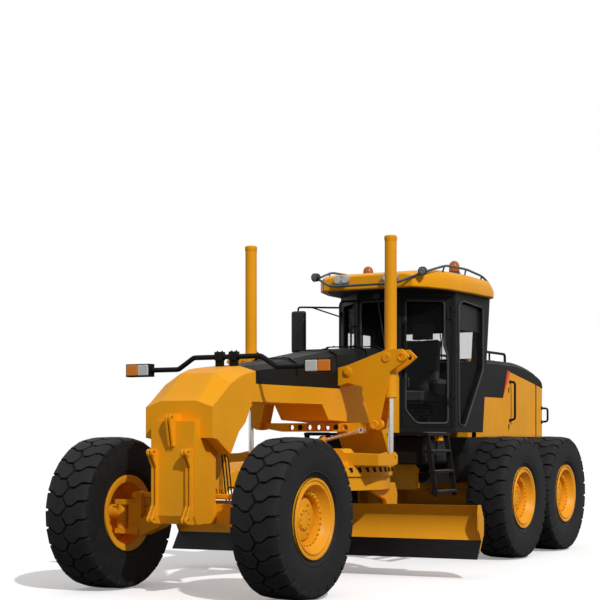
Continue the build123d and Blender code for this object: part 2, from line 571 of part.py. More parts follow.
# Saddle: swing arms beside the goose-neck, joined below it by the link bar
LIFT_Y = 895              # centre line of each blade lift cylinder
LIFT_BARREL_RADIUS = 66
LIFT_BARREL_BOTTOM_Z = 1960
LIFT_BARREL_TOP_Z = 3700
LIFT_ROD_RADIUS = 29.5
LIFT_TRUNNION_Z = 2390
LIFT_EYE_Z = 1300
LIFT_EYE_RADIUS = 46
LIFT_EYE_HALF = 30
SWING_PLATE = 30
SWING_PIN_Y = 420
SWING_PIN_Z = 2240
SWING_TIP_Y = 1080
LINK_PIN_Y = 750
LINK_PIN_Z = 1660
LINK_HOLE_PITCH = 115
LINK_HOLES = 7
LINK_HALF_DEPTH = 20
PIN_RADIUS = 25

swing_inner = LIFT_BARREL_RADIUS + 12
swing_outer = swing_inner + SWING_PLATE
swing_arm = [
    # distance from the middle of the machine, Z
    (NECK_HALF_WIDTH, 2090), (NECK_HALF_WIDTH, REAR_NECK_TOP_Z - 10), (SWING_PIN_Y, 2315),
    (LIFT_Y, LIFT_TRUNNION_Z + 85), (SWING_TIP_Y, LIFT_TRUNNION_Z + 85),
    (SWING_TIP_Y + 90, LIFT_TRUNNION_Z), (SWING_TIP_Y, LIFT_TRUNNION_Z - 70),
    (LIFT_Y + 40, 2230), (LINK_PIN_Y + 50, LINK_PIN_Z), (LINK_PIN_Y, LINK_PIN_Z - 55),
    (LINK_PIN_Y - 50, LINK_PIN_Z), (600, 2080), (SWING_PIN_Y, 2120),
]

with BuildPart() as swing_arms:
    for sign in SIDES.values():
        outline = [(sign * y, z) for y, z in swing_arm]
        for face in (-1, 1):
            near, far = SADDLE_X + face * swing_inner, SADDLE_X + face * swing_outer
            cross_slab(outline, near, far)
            disc_x(sign * SWING_PIN_Y, SWING_PIN_Z, near, far + face * 12, 48)
            disc_x(sign * LIFT_Y, LIFT_TRUNNION_Z, near, far + face * 12, 48)
            disc_x(sign * LIFT_Y, LIFT_TRUNNION_Z, near, far + face * 12, PIN_RADIUS + PIN_GAP,
                   Mode.SUBTRACT)
            disc_x(sign * SWING_TIP_Y, LIFT_TRUNNION_Z, near, far, 30, Mode.SUBTRACT)
        disc_x(sign * SWING_PIN_Y, SWING_PIN_Z, SADDLE_X - swing_outer - 25,
               SADDLE_X + swing_outer + 25, 30)
        disc_x(sign * LINK_PIN_Y, LINK_PIN_Z, SADDLE_X - swing_outer - 8, SADDLE_X + swing_outer + 8,
               PIN_RADIUS)
save(swing_arms, "swing_arms")

SHIFT_CYLINDER_X = SADDLE_X + 100
SHIFT_EYE_Y = 590
SHIFT_EYE_Z = 1600
SHIFT_EYE_RADIUS = 36
SHIFT_EYE_HALF = 20
SHIFT_EYE_DRIFT = 5       # how far the eye moves towards the link bar as the drawbar drops
SHIFT_ROD_RADIUS = 24

with BuildPart() as link_bar:
    link = [
        (-LINK_PIN_Y, LINK_PIN_Z - 30), (-470, LINK_PIN_Z - 75), (470, LINK_PIN_Z - 75),
        (LINK_PIN_Y, LINK_PIN_Z - 30), (LINK_PIN_Y, LINK_PIN_Z + 25), (470, LINK_PIN_Z + 22),
        (-470, LINK_PIN_Z + 22), (-LINK_PIN_Y, LINK_PIN_Z + 25),
    ]
    cross_slab(link, SADDLE_X - LINK_HALF_DEPTH, SADDLE_X + LINK_HALF_DEPTH)
    for sign in SIDES.values():
        disc_x(sign * LINK_PIN_Y, LINK_PIN_Z, SADDLE_X - LINK_HALF_DEPTH - 10,
               SADDLE_X + LINK_HALF_DEPTH + 10, 58)
        disc_x(sign * LINK_PIN_Y, LINK_PIN_Z, SADDLE_X - LINK_HALF_DEPTH - 10,
               SADDLE_X + LINK_HALF_DEPTH + 10, PIN_RADIUS + PIN_GAP, Mode.SUBTRACT)
    for hole in range(LINK_HOLES):
        hole_y = (hole - (LINK_HOLES - 1) / 2) * LINK_HOLE_PITCH
        disc_x(hole_y, LINK_PIN_Z - 27, SADDLE_X - LINK_HALF_DEPTH, SADDLE_X + LINK_HALF_DEPTH, 32,
               Mode.SUBTRACT)
    # boss beside the eye of the centre shift rod, and the lock pin up into the neck
    disc_x(SHIFT_EYE_Y, SHIFT_EYE_Z, SADDLE_X + LINK_HALF_DEPTH,
           SHIFT_CYLINDER_X - SHIFT_ROD_RADIUS - SIDE_GAP - SHIFT_EYE_DRIFT, 34)
    cross_slab([(SHIFT_EYE_Y - 34, SHIFT_EYE_Z), (SHIFT_EYE_Y + 34, SHIFT_EYE_Z),
                (SHIFT_EYE_Y + 34, LINK_PIN_Z), (SHIFT_EYE_Y - 34, LINK_PIN_Z)],
               SADDLE_X, SADDLE_X + LINK_HALF_DEPTH + 20)
save(link_bar, "link_bar")

with BuildPart() as lift_barrels:
    for sign in SIDES.values():
        y = sign * LIFT_Y
        disc_z(SADDLE_X, y, LIFT_BARREL_BOTTOM_Z, LIFT_BARREL_TOP_Z, LIFT_BARREL_RADIUS)
        disc_z(SADDLE_X, y, LIFT_TRUNNION_Z - 45, LIFT_TRUNNION_Z + 45, LIFT_BARREL_RADIUS + 8)
        disc_z(SADDLE_X, y, LIFT_BARREL_BOTTOM_Z, LIFT_BARREL_TOP_Z - 60, LIFT_ROD_RADIUS + PIN_GAP,
               Mode.SUBTRACT)
        for face in (-1, 1):
            disc_x(y, LIFT_TRUNNION_Z, SADDLE_X + face * (LIFT_ROD_RADIUS + 8),
                   SADDLE_X + face * (swing_outer + 12), PIN_RADIUS)
save(lift_barrels, "lift_barrels")

# Drawbar: an A-shaped beam from its front eye to the plate that carries the circle
CIRCLE_SETBACK = 2450
CIRCLE_RADIUS = 800
CIRCLE_BORE = 640
CIRCLE_TOP_Z = 1220
CIRCLE_BOTTOM_Z = 950
DRAWBAR_PLATE = 45
DRAWBAR_BEAM_BOTTOM_Z = 1030
DRAWBAR_ARM = 130         # width of each arm of the A
CROSS_BEAM_TOP_Z = 1400
CROSS_BEAM_FRONT = -1990
CROSS_BEAM_REAR = -2215
DRIVE_SETBACK_FRONT = -1690
DRIVE_RADIUS = 90
DRIVE_TOP_Z = 1450
SHIFT_PIN_Y = -620
SHIFT_BARREL_RADIUS = 38
SHIFT_BARREL_LENGTH = 740
SHIFT_BALL_RADIUS = 26    # ball joint at the cylinder's foot
SHIFT_RING_RADIUS = 40
SHIFT_RING_HALF = 14
SHIFT_EAR = 16
SHIFT_FOOT_RADIUS = 12

CIRCLE_X = FRONT_X - CIRCLE_SETBACK
DRIVE_X = FRONT_X - 1810
plate_bottom_z = CIRCLE_TOP_Z + RUNNING_GAP
plate_top_z = plate_bottom_z + DRAWBAR_PLATE
shift_pin_z = plate_top_z + SHIFT_RING_RADIUS + SIDE_GAP + 4
shift_ear_inner = 36
shift_foot = Location((SHIFT_CYLINDER_X, SHIFT_PIN_Y, shift_pin_z), (0, 90, 0))
bracket_inner = LIFT_EYE_HALF + SIDE_GAP
bracket_outer = bracket_inner + 22

with BuildPart() as drawbar:
    # the two arms, tapered down to the front eye
    arms = [
        # X ahead of the axle, half width
        (-300, DRAWBAR_EYE_HALF), (-440, DRAWBAR_EYE_HALF), (-900, 190), (CROSS_BEAM_FRONT, 590),
        (CROSS_BEAM_REAR, 590),
    ]
    outline = [(FRONT_X + x, y) for x, y in arms]
    outline += [(x, -y) for x, y in reversed(outline)]
    plan_slab(outline, DRAWBAR_BEAM_BOTTOM_Z, plate_top_z)
    gap = [(FRONT_X - 950, 70), (FRONT_X + CROSS_BEAM_FRONT + 60, 590 - DRAWBAR_ARM)]
    gap += [(x, -y) for x, y in reversed(gap)]
    plan_slab(gap, DRAWBAR_BEAM_BOTTOM_Z, plate_top_z, Mode.SUBTRACT)
    belly = [
        (CIRCLE_RADIUS - CIRCLE_SETBACK + 30, DRAWBAR_BEAM_BOTTOM_Z - 10),
        (CIRCLE_RADIUS - CIRCLE_SETBACK + 30, plate_bottom_z - 60),
        (CIRCLE_RADIUS - CIRCLE_SETBACK - 30, plate_bottom_z), (-2300, plate_bottom_z),
        (-2300, DRAWBAR_BEAM_BOTTOM_Z - 10),
    ]
    side_slab(moved(belly, FRONT_X), -700, 700, Mode.SUBTRACT)
    nose_taper = [(-250, 1095), (-800, plate_top_z), (-800, plate_top_z + 10), (-250, plate_top_z + 10)]
    side_slab(moved(nose_taper, FRONT_X), -700, 700, Mode.SUBTRACT)
    under_taper = [(-250, 960), (-700, DRAWBAR_BEAM_BOTTOM_Z), (-1200, DRAWBAR_BEAM_BOTTOM_Z),
                   (-1200, DRAWBAR_BEAM_BOTTOM_Z + 40), (-250, 1000)]
    side_slab(moved(under_taper, FRONT_X), -DRAWBAR_EYE_HALF, DRAWBAR_EYE_HALF)
    disc_y(DRAWBAR_PIN_X, DRAWBAR_PIN_Z, -DRAWBAR_EYE_HALF, DRAWBAR_EYE_HALF,
           DRAWBAR_EYE_RADIUS - SIDE_GAP)
    # plate over the circle
    plate = [
        (CROSS_BEAM_FRONT, 590), (-2150, 720), (-2480, 740), (-2830, 620), (-3060, 380),
    ]
    outline = [(FRONT_X + x, y) for x, y in plate]
    outline += [(x, -y) for x, y in reversed(outline)]
    plan_slab(outline, plate_bottom_z, plate_top_z)
    disc_z(CIRCLE_X - 60, 0, plate_bottom_z, plate_top_z, 300, Mode.SUBTRACT)
    # cross plate between the arms, and the gearbox that drives the circle
    gear_plate = [(DRIVE_SETBACK_FRONT, 350), (CROSS_BEAM_FRONT, 480)]
    outline = [(FRONT_X + x, y) for x, y in gear_plate]
    outline += [(x, -y) for x, y in reversed(outline)]
    plan_slab(outline, plate_top_z - DRAWBAR_PLATE, plate_top_z)
    disc_z(DRIVE_X, 0, plate_top_z, DRIVE_TOP_Z - 60, DRIVE_RADIUS)
    disc_z(DRIVE_X, 0, DRIVE_TOP_Z - 60, DRIVE_TOP_Z, DRIVE_RADIUS - 35)
    # cross beam and the brackets under the lift cylinders
    beam = [
        (0, CROSS_BEAM_TOP_Z), (500, CROSS_BEAM_TOP_Z), (540, CROSS_BEAM_TOP_Z - 45),
        (LIFT_Y + bracket_outer, CROSS_BEAM_TOP_Z - 60), (LIFT_Y + bracket_outer, plate_bottom_z),
        (0, plate_bottom_z),
    ]
    for sign in SIDES.values():
        cross_slab([(sign * y, z) for y, z in beam], FRONT_X + CROSS_BEAM_FRONT,
                   FRONT_X + CROSS_BEAM_REAR)
        bracket = [
            (CROSS_BEAM_REAR, plate_bottom_z), (CROSS_BEAM_REAR, CROSS_BEAM_TOP_Z - 60),
            (-SADDLE_SETBACK, LIFT_EYE_Z + 62), (-SADDLE_SETBACK - 55, LIFT_EYE_Z + 30),
            (-SADDLE_SETBACK - 55, LIFT_EYE_Z - 60), (-SADDLE_SETBACK, LIFT_EYE_Z - 80),
        ]
        for face in (-1, 1):
            side_slab(moved(bracket, FRONT_X), sign * LIFT_Y + face * bracket_inner,
                      sign * LIFT_Y + face * bracket_outer)
            disc_y(SADDLE_X, LIFT_EYE_Z, sign * LIFT_Y + face * bracket_inner,
                   sign * LIFT_Y + face * bracket_outer, 18, Mode.SUBTRACT)
    for face in (-1, 1):
        near = SHIFT_CYLINDER_X + face * shift_ear_inner
        ear = [(SHIFT_PIN_Y - 40, plate_top_z), (SHIFT_PIN_Y + 30, plate_top_z),
               (SHIFT_PIN_Y + 20, shift_pin_z + 20), (SHIFT_PIN_Y - 25, shift_pin_z + 20)]
        cross_slab(ear, near, near + face * SHIFT_EAR)
    disc_x(SHIFT_PIN_Y, shift_pin_z, SHIFT_CYLINDER_X - shift_ear_inner - SHIFT_EAR,
           SHIFT_CYLINDER_X + shift_ear_inner + SHIFT_EAR, SHIFT_FOOT_RADIUS)
    with Locations(shift_foot):
        Sphere(SHIFT_BALL_RADIUS)
    disc_y(DRAWBAR_PIN_X, DRAWBAR_PIN_Z, -DRAWBAR_EYE_HALF, DRAWBAR_EYE_HALF,
           DRAWBAR_PIN_RADIUS + PIN_GAP, Mode.SUBTRACT)
save(drawbar, "drawbar")

for side, sign in SIDES.items():
    with BuildPart() as lift_rod:
        disc_z(SADDLE_X, sign * LIFT_Y, LIFT_EYE_Z + LIFT_EYE_RADIUS - 10, LIFT_BARREL_TOP_Z - 500,
               LIFT_ROD_RADIUS)
        disc_y(SADDLE_X, LIFT_EYE_Z, sign * LIFT_Y - LIFT_EYE_HALF, sign * LIFT_Y + LIFT_EYE_HALF,
               LIFT_EYE_RADIUS)
        disc_y(SADDLE_X, LIFT_EYE_Z, sign * LIFT_Y - LIFT_EYE_HALF, sign * LIFT_Y + LIFT_EYE_HALF,
               18, Mode.SUBTRACT)
    save(lift_rod, f"lift_rod_{side}")

# Centre shift cylinder: from the drawbar's right side up to the left of the link bar
shift_start = (SHIFT_CYLINDER_X, SHIFT_PIN_Y, shift_pin_z)
shift_run = Vector(0, SHIFT_EYE_Y - SHIFT_PIN_Y, SHIFT_EYE_Z - shift_pin_z)
shift_way = shift_run.normalized()
shift_plane = Plane(origin=shift_start, z_dir=shift_way)


def along_shift(distance):
    """A point on the centre shift cylinder's line."""
    return tuple(Vector(*shift_start) + shift_way * distance)


with BuildPart() as shift_barrel:
    bar(along_shift(2.2 * SHIFT_RING_RADIUS), along_shift(SHIFT_BARREL_LENGTH), SHIFT_BARREL_RADIUS)
    bar(along_shift(0.8 * SHIFT_RING_RADIUS), along_shift(2.3 * SHIFT_RING_RADIUS), SHIFT_RING_HALF)
    disc_x(SHIFT_PIN_Y, shift_pin_z, SHIFT_CYLINDER_X - SHIFT_RING_HALF,
           SHIFT_CYLINDER_X + SHIFT_RING_HALF, SHIFT_RING_RADIUS)
    with Locations(shift_foot):
        Sphere(SHIFT_BALL_RADIUS + PIN_GAP, mode=Mode.SUBTRACT)
    bar(along_shift(3 * SHIFT_RING_RADIUS), along_shift(SHIFT_BARREL_LENGTH),
        SHIFT_ROD_RADIUS + PIN_GAP, Mode.SUBTRACT)
save(shift_barrel, "shift_barrel")

with BuildPart() as shift_rod:
    bar(along_shift(240), along_shift(shift_run.length - 20), SHIFT_ROD_RADIUS)
    disc_x(SHIFT_EYE_Y, SHIFT_EYE_Z, SHIFT_CYLINDER_X - SHIFT_EYE_HALF,
           SHIFT_CYLINDER_X + SHIFT_EYE_HALF, SHIFT_EYE_RADIUS)
    disc_x(SHIFT_EYE_Y, SHIFT_EYE_Z, SHIFT_CYLINDER_X - SHIFT_EYE_HALF,
           SHIFT_CYLINDER_X + SHIFT_EYE_HALF, 15, Mode.SUBTRACT)
save(shift_rod, "shift_rod")


# Circle: toothed ring under the drawbar, with two arms down to the blade.
# Circle and blade are drawn square to the machine and then turned about the circle's axis.
BLADE_ANGLE = 5.8         # how far the blade's left end is swung back
RING_FLANGE_Z = 1100
RING_STEP = 25
ARM_INNER_Y = 660
ARM_THICKNESS = 44
BLADE_HINGE_BACK = 300    # behind the circle's axis
BLADE_HINGE_Z = 350
HINGE_PIN_RADIUS = 26

BLADE_HINGE_X = CIRCLE_X - BLADE_HINGE_BACK
circle_axis = Axis((CIRCLE_X, 0, 0), (0, 0, 1))


def save_turned(piece, name):
    """Turn a finished piece with the circle, then write it."""
    turned = piece.part.rotate(circle_axis, BLADE_ANGLE)
    turned.label = name
    export_step(turned, f"parts/{name}.step")


with BuildPart() as circle:
    disc_z(CIRCLE_X, 0, RING_FLANGE_Z, CIRCLE_TOP_Z, CIRCLE_RADIUS)
    disc_z(CIRCLE_X, 0, CIRCLE_BOTTOM_Z, RING_FLANGE_Z, CIRCLE_RADIUS - RING_STEP)
    disc_z(CIRCLE_X, 0, CIRCLE_BOTTOM_Z, CIRCLE_TOP_Z, CIRCLE_BORE, Mode.SUBTRACT)
    arm = [
        # behind the circle's axis, Z
        (250, CIRCLE_BOTTOM_Z + 60), (-480, CIRCLE_BOTTOM_Z + 60), (-560, CIRCLE_BOTTOM_Z - 60),
        (-545, 700), (-470, 480), (-BLADE_HINGE_BACK - 50, BLADE_HINGE_Z - 50),
        (-BLADE_HINGE_BACK, BLADE_HINGE_Z - 50), (-BLADE_HINGE_BACK + 50, BLADE_HINGE_Z),
        (-BLADE_HINGE_BACK + 45, BLADE_HINGE_Z + 45), (-365, 440), (-385, 560), (-360, 640),
        (-300, 720), (-180, 830), (200, CIRCLE_BOTTOM_Z - 20),
    ]
    for sign in SIDES.values():
        side_slab(moved(arm, CIRCLE_X), sign * ARM_INNER_Y, sign * (ARM_INNER_Y + ARM_THICKNESS))
        disc_y(BLADE_HINGE_X, BLADE_HINGE_Z, sign * (ARM_INNER_Y - 80),
               sign * (ARM_INNER_Y + ARM_THICKNESS + 14), HINGE_PIN_RADIUS)
save_turned(circle, "circle")

# Blade: curved moldboard on two rails, which slides in a carrier that tips on the arms
BLADE_LENGTH = 3700
BLADE_SHEET = 25
BLADE_BOTTOM_Z = 300
BLADE_TOP_Z = 790
EDGE_BOTTOM_Z = 220
EDGE_THICKNESS = 22
END_PLATE = 20
RAIL_HALF_LENGTH = 1400
RAIL_LOW_Z = 432
RAIL_HIGH_Z = 660
RAIL_HEIGHT = 44
SIDE_SHIFT_ROD_RADIUS = 25
SIDE_SHIFT_BARREL_RADIUS = 45
SIDE_SHIFT_Z = 530
SIDE_SHIFT_BACK = 285
BARREL_LEFT_Y = 560
BARREL_RIGHT_Y = -770
SPINE_FRONT = -254        # ahead of the circle's axis

# front face of the moldboard, ahead of the circle's axis: a flat foot and an arc to the top
foot_low = (20, BLADE_BOTTOM_Z)
foot_high = (-60, BLADE_BOTTOM_Z + 102)
sheet_top = (0, BLADE_TOP_Z)
rail_back_x = CIRCLE_X - 245
rail_front_x = CIRCLE_X - 106
side_shift_x = CIRCLE_X - SIDE_SHIFT_BACK
foot_way = (Vector(*foot_high) - Vector(*foot_low)).normalized()
foot_out = Vector(foot_way.Y, -foot_way.X)

with BuildPart() as moldboard:
    with BuildSketch(Plane.XZ.offset(-BLADE_LENGTH / 2)) as sheet:
        with BuildLine():
            foot = Line((CIRCLE_X + foot_low[0], foot_low[1]), (CIRCLE_X + foot_high[0], foot_high[1]))
            bowl = TangentArc(foot @ 1, (CIRCLE_X + sheet_top[0], sheet_top[1]), tangent=foot % 1)
            lip = Line(bowl @ 1, (bowl @ 1) - (BLADE_SHEET, 0))
            inner = Vector(*foot_out) * -BLADE_SHEET
            back_foot = Line((foot @ 0) + inner, (foot @ 1) + inner)
            TangentArc(back_foot @ 1, lip @ 1, tangent=back_foot % 1)
            Line(back_foot @ 0, foot @ 0)
        make_face()
    extrude(sheet.sketch, amount=BLADE_LENGTH)
    for rail_z in (RAIL_LOW_Z, RAIL_HIGH_Z):
        block(rail_back_x, rail_front_x, -RAIL_HALF_LENGTH, RAIL_HALF_LENGTH, rail_z,
              rail_z + RAIL_HEIGHT)
    end_outline = [
        foot_low, foot_high, (foot_high[0] + 18, foot_high[1] + 17), (30, 520), (40, 700),
        (12, BLADE_TOP_Z + 6), (-45, BLADE_TOP_Z + 6), (-150, 640), (-150, 480),
        (-15, BLADE_BOTTOM_Z),
    ]
    for sign in SIDES.values():
        side_slab(moved(end_outline, CIRCLE_X), sign * (BLADE_LENGTH / 2 - END_PLATE),
                  sign * BLADE_LENGTH / 2)
    # ear for the side shift rod at the right end of the rails
    block(side_shift_x - 45, rail_front_x, -RAIL_HALF_LENGTH - 40, -RAIL_HALF_LENGTH,
          RAIL_LOW_Z, RAIL_HIGH_Z + RAIL_HEIGHT)
save_turned(moldboard, "moldboard")

with BuildPart() as cutting_edge:
    drop = (BLADE_BOTTOM_Z - EDGE_BOTTOM_Z) / -foot_way.Y
    tip_x = foot_low[0] + foot_way.X * drop
    edge = [
        (tip_x, EDGE_BOTTOM_Z), foot_high,
        (foot_high[0] + foot_out.X * EDGE_THICKNESS, foot_high[1] + foot_out.Y * EDGE_THICKNESS),
        (tip_x + EDGE_THICKNESS / foot_out.X, EDGE_BOTTOM_Z),
    ]
    side_slab(moved(edge, CIRCLE_X), -BLADE_LENGTH / 2, BLADE_LENGTH / 2)
save_turned(cutting_edge, "cutting_edge")

with BuildPart() as blade_shift_rod:
    disc_y(side_shift_x, SIDE_SHIFT_Z, -RAIL_HALF_LENGTH, 0, SIDE_SHIFT_ROD_RADIUS)
save_turned(blade_shift_rod, "blade_shift_rod")

with BuildPart() as blade_carrier:
    carrier_outer = ARM_INNER_Y - SIDE_GAP
    carrier_inner = carrier_outer - 110
    for sign in SIDES.values():
        spine = [
            (-BLADE_HINGE_BACK - 45, BLADE_HINGE_Z - 45), (-BLADE_HINGE_BACK + 45, BLADE_HINGE_Z - 45),
            (SPINE_FRONT, RAIL_LOW_Z - 12), (SPINE_FRONT, RAIL_HIGH_Z + RAIL_HEIGHT + 40),
            (SPINE_FRONT - 65, RAIL_HIGH_Z + RAIL_HEIGHT + 40), (SPINE_FRONT - 80, 560),
        ]
        side_slab(moved(spine, CIRCLE_X), sign * carrier_inner, sign * carrier_outer)
        for rail_z in (RAIL_LOW_Z, RAIL_HIGH_Z):
            for jaw_low in (rail_z - RUNNING_GAP - 24, rail_z + RAIL_HEIGHT + RUNNING_GAP):
                block(CIRCLE_X + SPINE_FRONT, CIRCLE_X - 205, sign * carrier_inner,
                      sign * carrier_outer, jaw_low, jaw_low + 24)
        disc_y(BLADE_HINGE_X, BLADE_HINGE_Z, sign * carrier_inner, sign * carrier_outer,
               HINGE_PIN_RADIUS + PIN_GAP, Mode.SUBTRACT)
    disc_y(side_shift_x, SIDE_SHIFT_Z, BARREL_RIGHT_Y, BARREL_LEFT_Y, SIDE_SHIFT_BARREL_RADIUS)
    disc_y(side_shift_x, SIDE_SHIFT_Z, BARREL_RIGHT_Y, BARREL_LEFT_Y - 30,
           SIDE_SHIFT_ROD_RADIUS + PIN_GAP, Mode.SUBTRACT)
save_turned(blade_carrier, "blade_carrier")


# Cab: a hollow shell with an angled door on each side, under an overhanging roof
CAB_BOTTOM_Z = 1580
CAB_TOP_Z = 3285
CAB_WALL = 55
CAB_NOSE_HALF = 280       # half width of the windscreen
CAB_HALF_WIDTH = 790
CAB_SHOULDER = 530        # windscreen to the B pillar
CAB_LENGTH = 1610
CAB_REAR_FOOT = 1380      # the rear wall leans back from here
GLASS = 8
DOOR_LOW_Z = 1640
DOOR_HIGH_Z = 3215
DOOR_START = 40           # along the angled face, from the windscreen corner
DOOR_END = 690
DOOR_GAP = 6
DOOR_THICKNESS = 42
DOOR_HINGE_OUT = 14
DOOR_HINGE_RADIUS = 12
DOOR_HINGE_HEIGHT = 90
DOOR_HINGES_Z = [1900, 2950]
KNUCKLE_HEIGHT = 60       # the half of each hinge on the pillar
MOUNT_Y = 230             # centre line of the cab mounts
MOUNT_HALF = 60

face_run = Vector(-CAB_SHOULDER, CAB_HALF_WIDTH - CAB_NOSE_HALF, 0)
face_way = face_run.normalized()
face_out = Vector(face_way.Y, -face_way.X, 0)
door_plane = Plane(origin=(CAB_X, CAB_NOSE_HALF, 0), x_dir=face_way, z_dir=face_out)


def cab_plan(inset):
    """Plan outline of the cab, set in from its outer faces."""
    with BuildSketch(Plane.XY.offset(CAB_BOTTOM_Z + inset)) as plan:
        with BuildLine():
            Polyline((CAB_X, -CAB_NOSE_HALF), (CAB_X, CAB_NOSE_HALF),
                     (CAB_X - CAB_SHOULDER, CAB_HALF_WIDTH), (CAB_X - CAB_LENGTH, CAB_HALF_WIDTH),
                     (CAB_X - CAB_LENGTH, -CAB_HALF_WIDTH), (CAB_X - CAB_SHOULDER, -CAB_HALF_WIDTH),
                     close=True)
        make_face()
        if inset:
            offset(amount=-inset, kind=Kind.INTERSECTION, mode=Mode.REPLACE)
    return plan.sketch


def rear_wedge(inset):
    """Outline behind the leaning rear wall."""
    return [
        (CAB_X - CAB_REAR_FOOT + inset, CAB_BOTTOM_Z - 10), (CAB_X - CAB_LENGTH + inset, CAB_TOP_Z + 10),
        (CAB_X - CAB_LENGTH - 200, CAB_TOP_Z + 10), (CAB_X - CAB_LENGTH - 200, CAB_BOTTOM_Z - 10),
    ]


def door_slab(outline, depth_from, depth_to, mode=Mode.ADD):
    """Add a plate on the left angled face; depths are measured outward."""
    plane = door_plane.offset(depth_from)
    extrude(face_of(outline, plane), amount=depth_to - depth_from, mode=mode)


with BuildPart() as cab_cavity:
    extrude(cab_plan(CAB_WALL), amount=CAB_TOP_Z - CAB_BOTTOM_Z)
    side_slab(rear_wedge(CAB_WALL), -CAB_HALF_WIDTH, CAB_HALF_WIDTH, Mode.SUBTRACT)

with BuildPart() as left_doorway:
    door_slab([(DOOR_START, DOOR_LOW_Z), (DOOR_END, DOOR_LOW_Z), (DOOR_END, DOOR_HIGH_Z),
               (DOOR_START, DOOR_HIGH_Z)], -CAB_WALL - 25, 5)

side_window = [
    # behind the windscreen, Z
    (-640, 1680), (-810, 1650), (-1375, 2370), (-1375, 3150), (-730, 3190), (-620, 3120),
]
windscreen = [(-225, 1760), (225, 1760), (225, 3160), (-225, 3160)]
rear_window = [(-600, 2480), (600, 2480), (600, 3120), (-600, 3120)]

CAB_MOUNTS = [
    # X behind the windscreen, from and to; distance from the middle, half width
    (-30, -150, MOUNT_Y, MOUNT_HALF),
    (-560, -700, HITCH_HALF_WIDTH - MOUNT_HALF, MOUNT_HALF),
]


def tail_z(x):
    """Height of the goose-neck's tail under the cab."""
    share = (tail_start_x - x) / (tail_start_x - tail_end_x)
    return max(TAIL_TOP_Z + share * (hitch_top_z - TAIL_TOP_Z), hitch_top_z + 20)


hinge_u = DOOR_END - DOOR_HINGE_RADIUS - 2
door_hinge = door_plane.from_local_coords((hinge_u, 0, DOOR_HINGE_OUT))

with BuildPart() as left_knuckles:
    for hinge_z in DOOR_HINGES_Z:
        low = hinge_z + DOOR_HINGE_HEIGHT + PIN_GAP
        high = low + KNUCKLE_HEIGHT
        disc_z(door_hinge.X, door_hinge.Y, low, high, DOOR_HINGE_RADIUS)
        door_slab([(hinge_u, low), (DOOR_END + 40, low), (DOOR_END + 40, high), (hinge_u, high)],
                  4, DOOR_HINGE_OUT + 8)
        door_slab([(DOOR_END, low), (DOOR_END + 40, low), (DOOR_END + 40, high), (DOOR_END, high)],
                  -CAB_WALL / 2, 5)

with BuildPart() as cab_shell:
    extrude(cab_plan(0), amount=CAB_TOP_Z - CAB_BOTTOM_Z)
    side_slab(rear_wedge(0), -CAB_HALF_WIDTH - 5, CAB_HALF_WIDTH + 5, Mode.SUBTRACT)
    add(cab_cavity.part, mode=Mode.SUBTRACT)
    add(left_doorway.part, mode=Mode.SUBTRACT)
    add(mirror(left_doorway.part, about=Plane.XZ, mode=Mode.PRIVATE), mode=Mode.SUBTRACT)
    for sign in SIDES.values():
        side_slab(moved(side_window, CAB_X), sign * (CAB_HALF_WIDTH - CAB_WALL - 5),
                  sign * (CAB_HALF_WIDTH + 5), Mode.SUBTRACT)
    cross_slab(windscreen, CAB_X - CAB_WALL - 5, CAB_X + 5, Mode.SUBTRACT)
    cross_slab(rear_window, CAB_X - CAB_LENGTH - 5, CAB_X - CAB_REAR_FOOT + 5, Mode.SUBTRACT)
    add(left_knuckles.part)
    add(mirror(left_knuckles.part, about=Plane.XZ, mode=Mode.PRIVATE))
    for front, rear, mount_y, mount_half in CAB_MOUNTS:
        foot = [(x, tail_z(x - CAB_SETBACK)) for x in (front, rear)]
        for sign in SIDES.values():
            side_slab(moved([(rear, CAB_BOTTOM_Z + 5), (front, CAB_BOTTOM_Z + 5)] + foot, CAB_X),
                      sign * (mount_y - mount_half), sign * (mount_y + mount_half))
save(cab_shell, "cab_shell")

with BuildPart() as cab_glass:
    for sign in SIDES.values():
        side_slab(moved(side_window, CAB_X), sign * (CAB_HALF_WIDTH - 30 - GLASS),
                  sign * (CAB_HALF_WIDTH - 30))
    cross_slab(windscreen, CAB_X - 30 - GLASS, CAB_X - 30)
    lean = (CAB_LENGTH - CAB_REAR_FOOT) / (CAB_TOP_Z - CAB_BOTTOM_Z + 20)
    pane = []
    for x_out, z in ((0, 2480), (0, 3120), (GLASS, 3120), (GLASS, 2480)):
        pane.append((CAB_X - CAB_REAR_FOOT + 20 + x_out - lean * (z - CAB_BOTTOM_Z + 10), z))
    side_slab(pane, -600, 600)
save(cab_glass, "cab_glass")

# Doors: framed glass leaves hinged at the B pillars
door_low, door_high = DOOR_LOW_Z + DOOR_GAP, DOOR_HIGH_Z - DOOR_GAP
door_near, door_far = DOOR_START + DOOR_GAP, DOOR_END - DOOR_GAP
door_window = [
    # along the angled face, Z
    (door_near + 45, 1850), (door_near + 180, 1690), (door_far - 50, 1690), (door_far - 50, 2510),
    (door_far - 95, 2630), (door_far - 95, 3165), (door_near + 45, 3165),
]

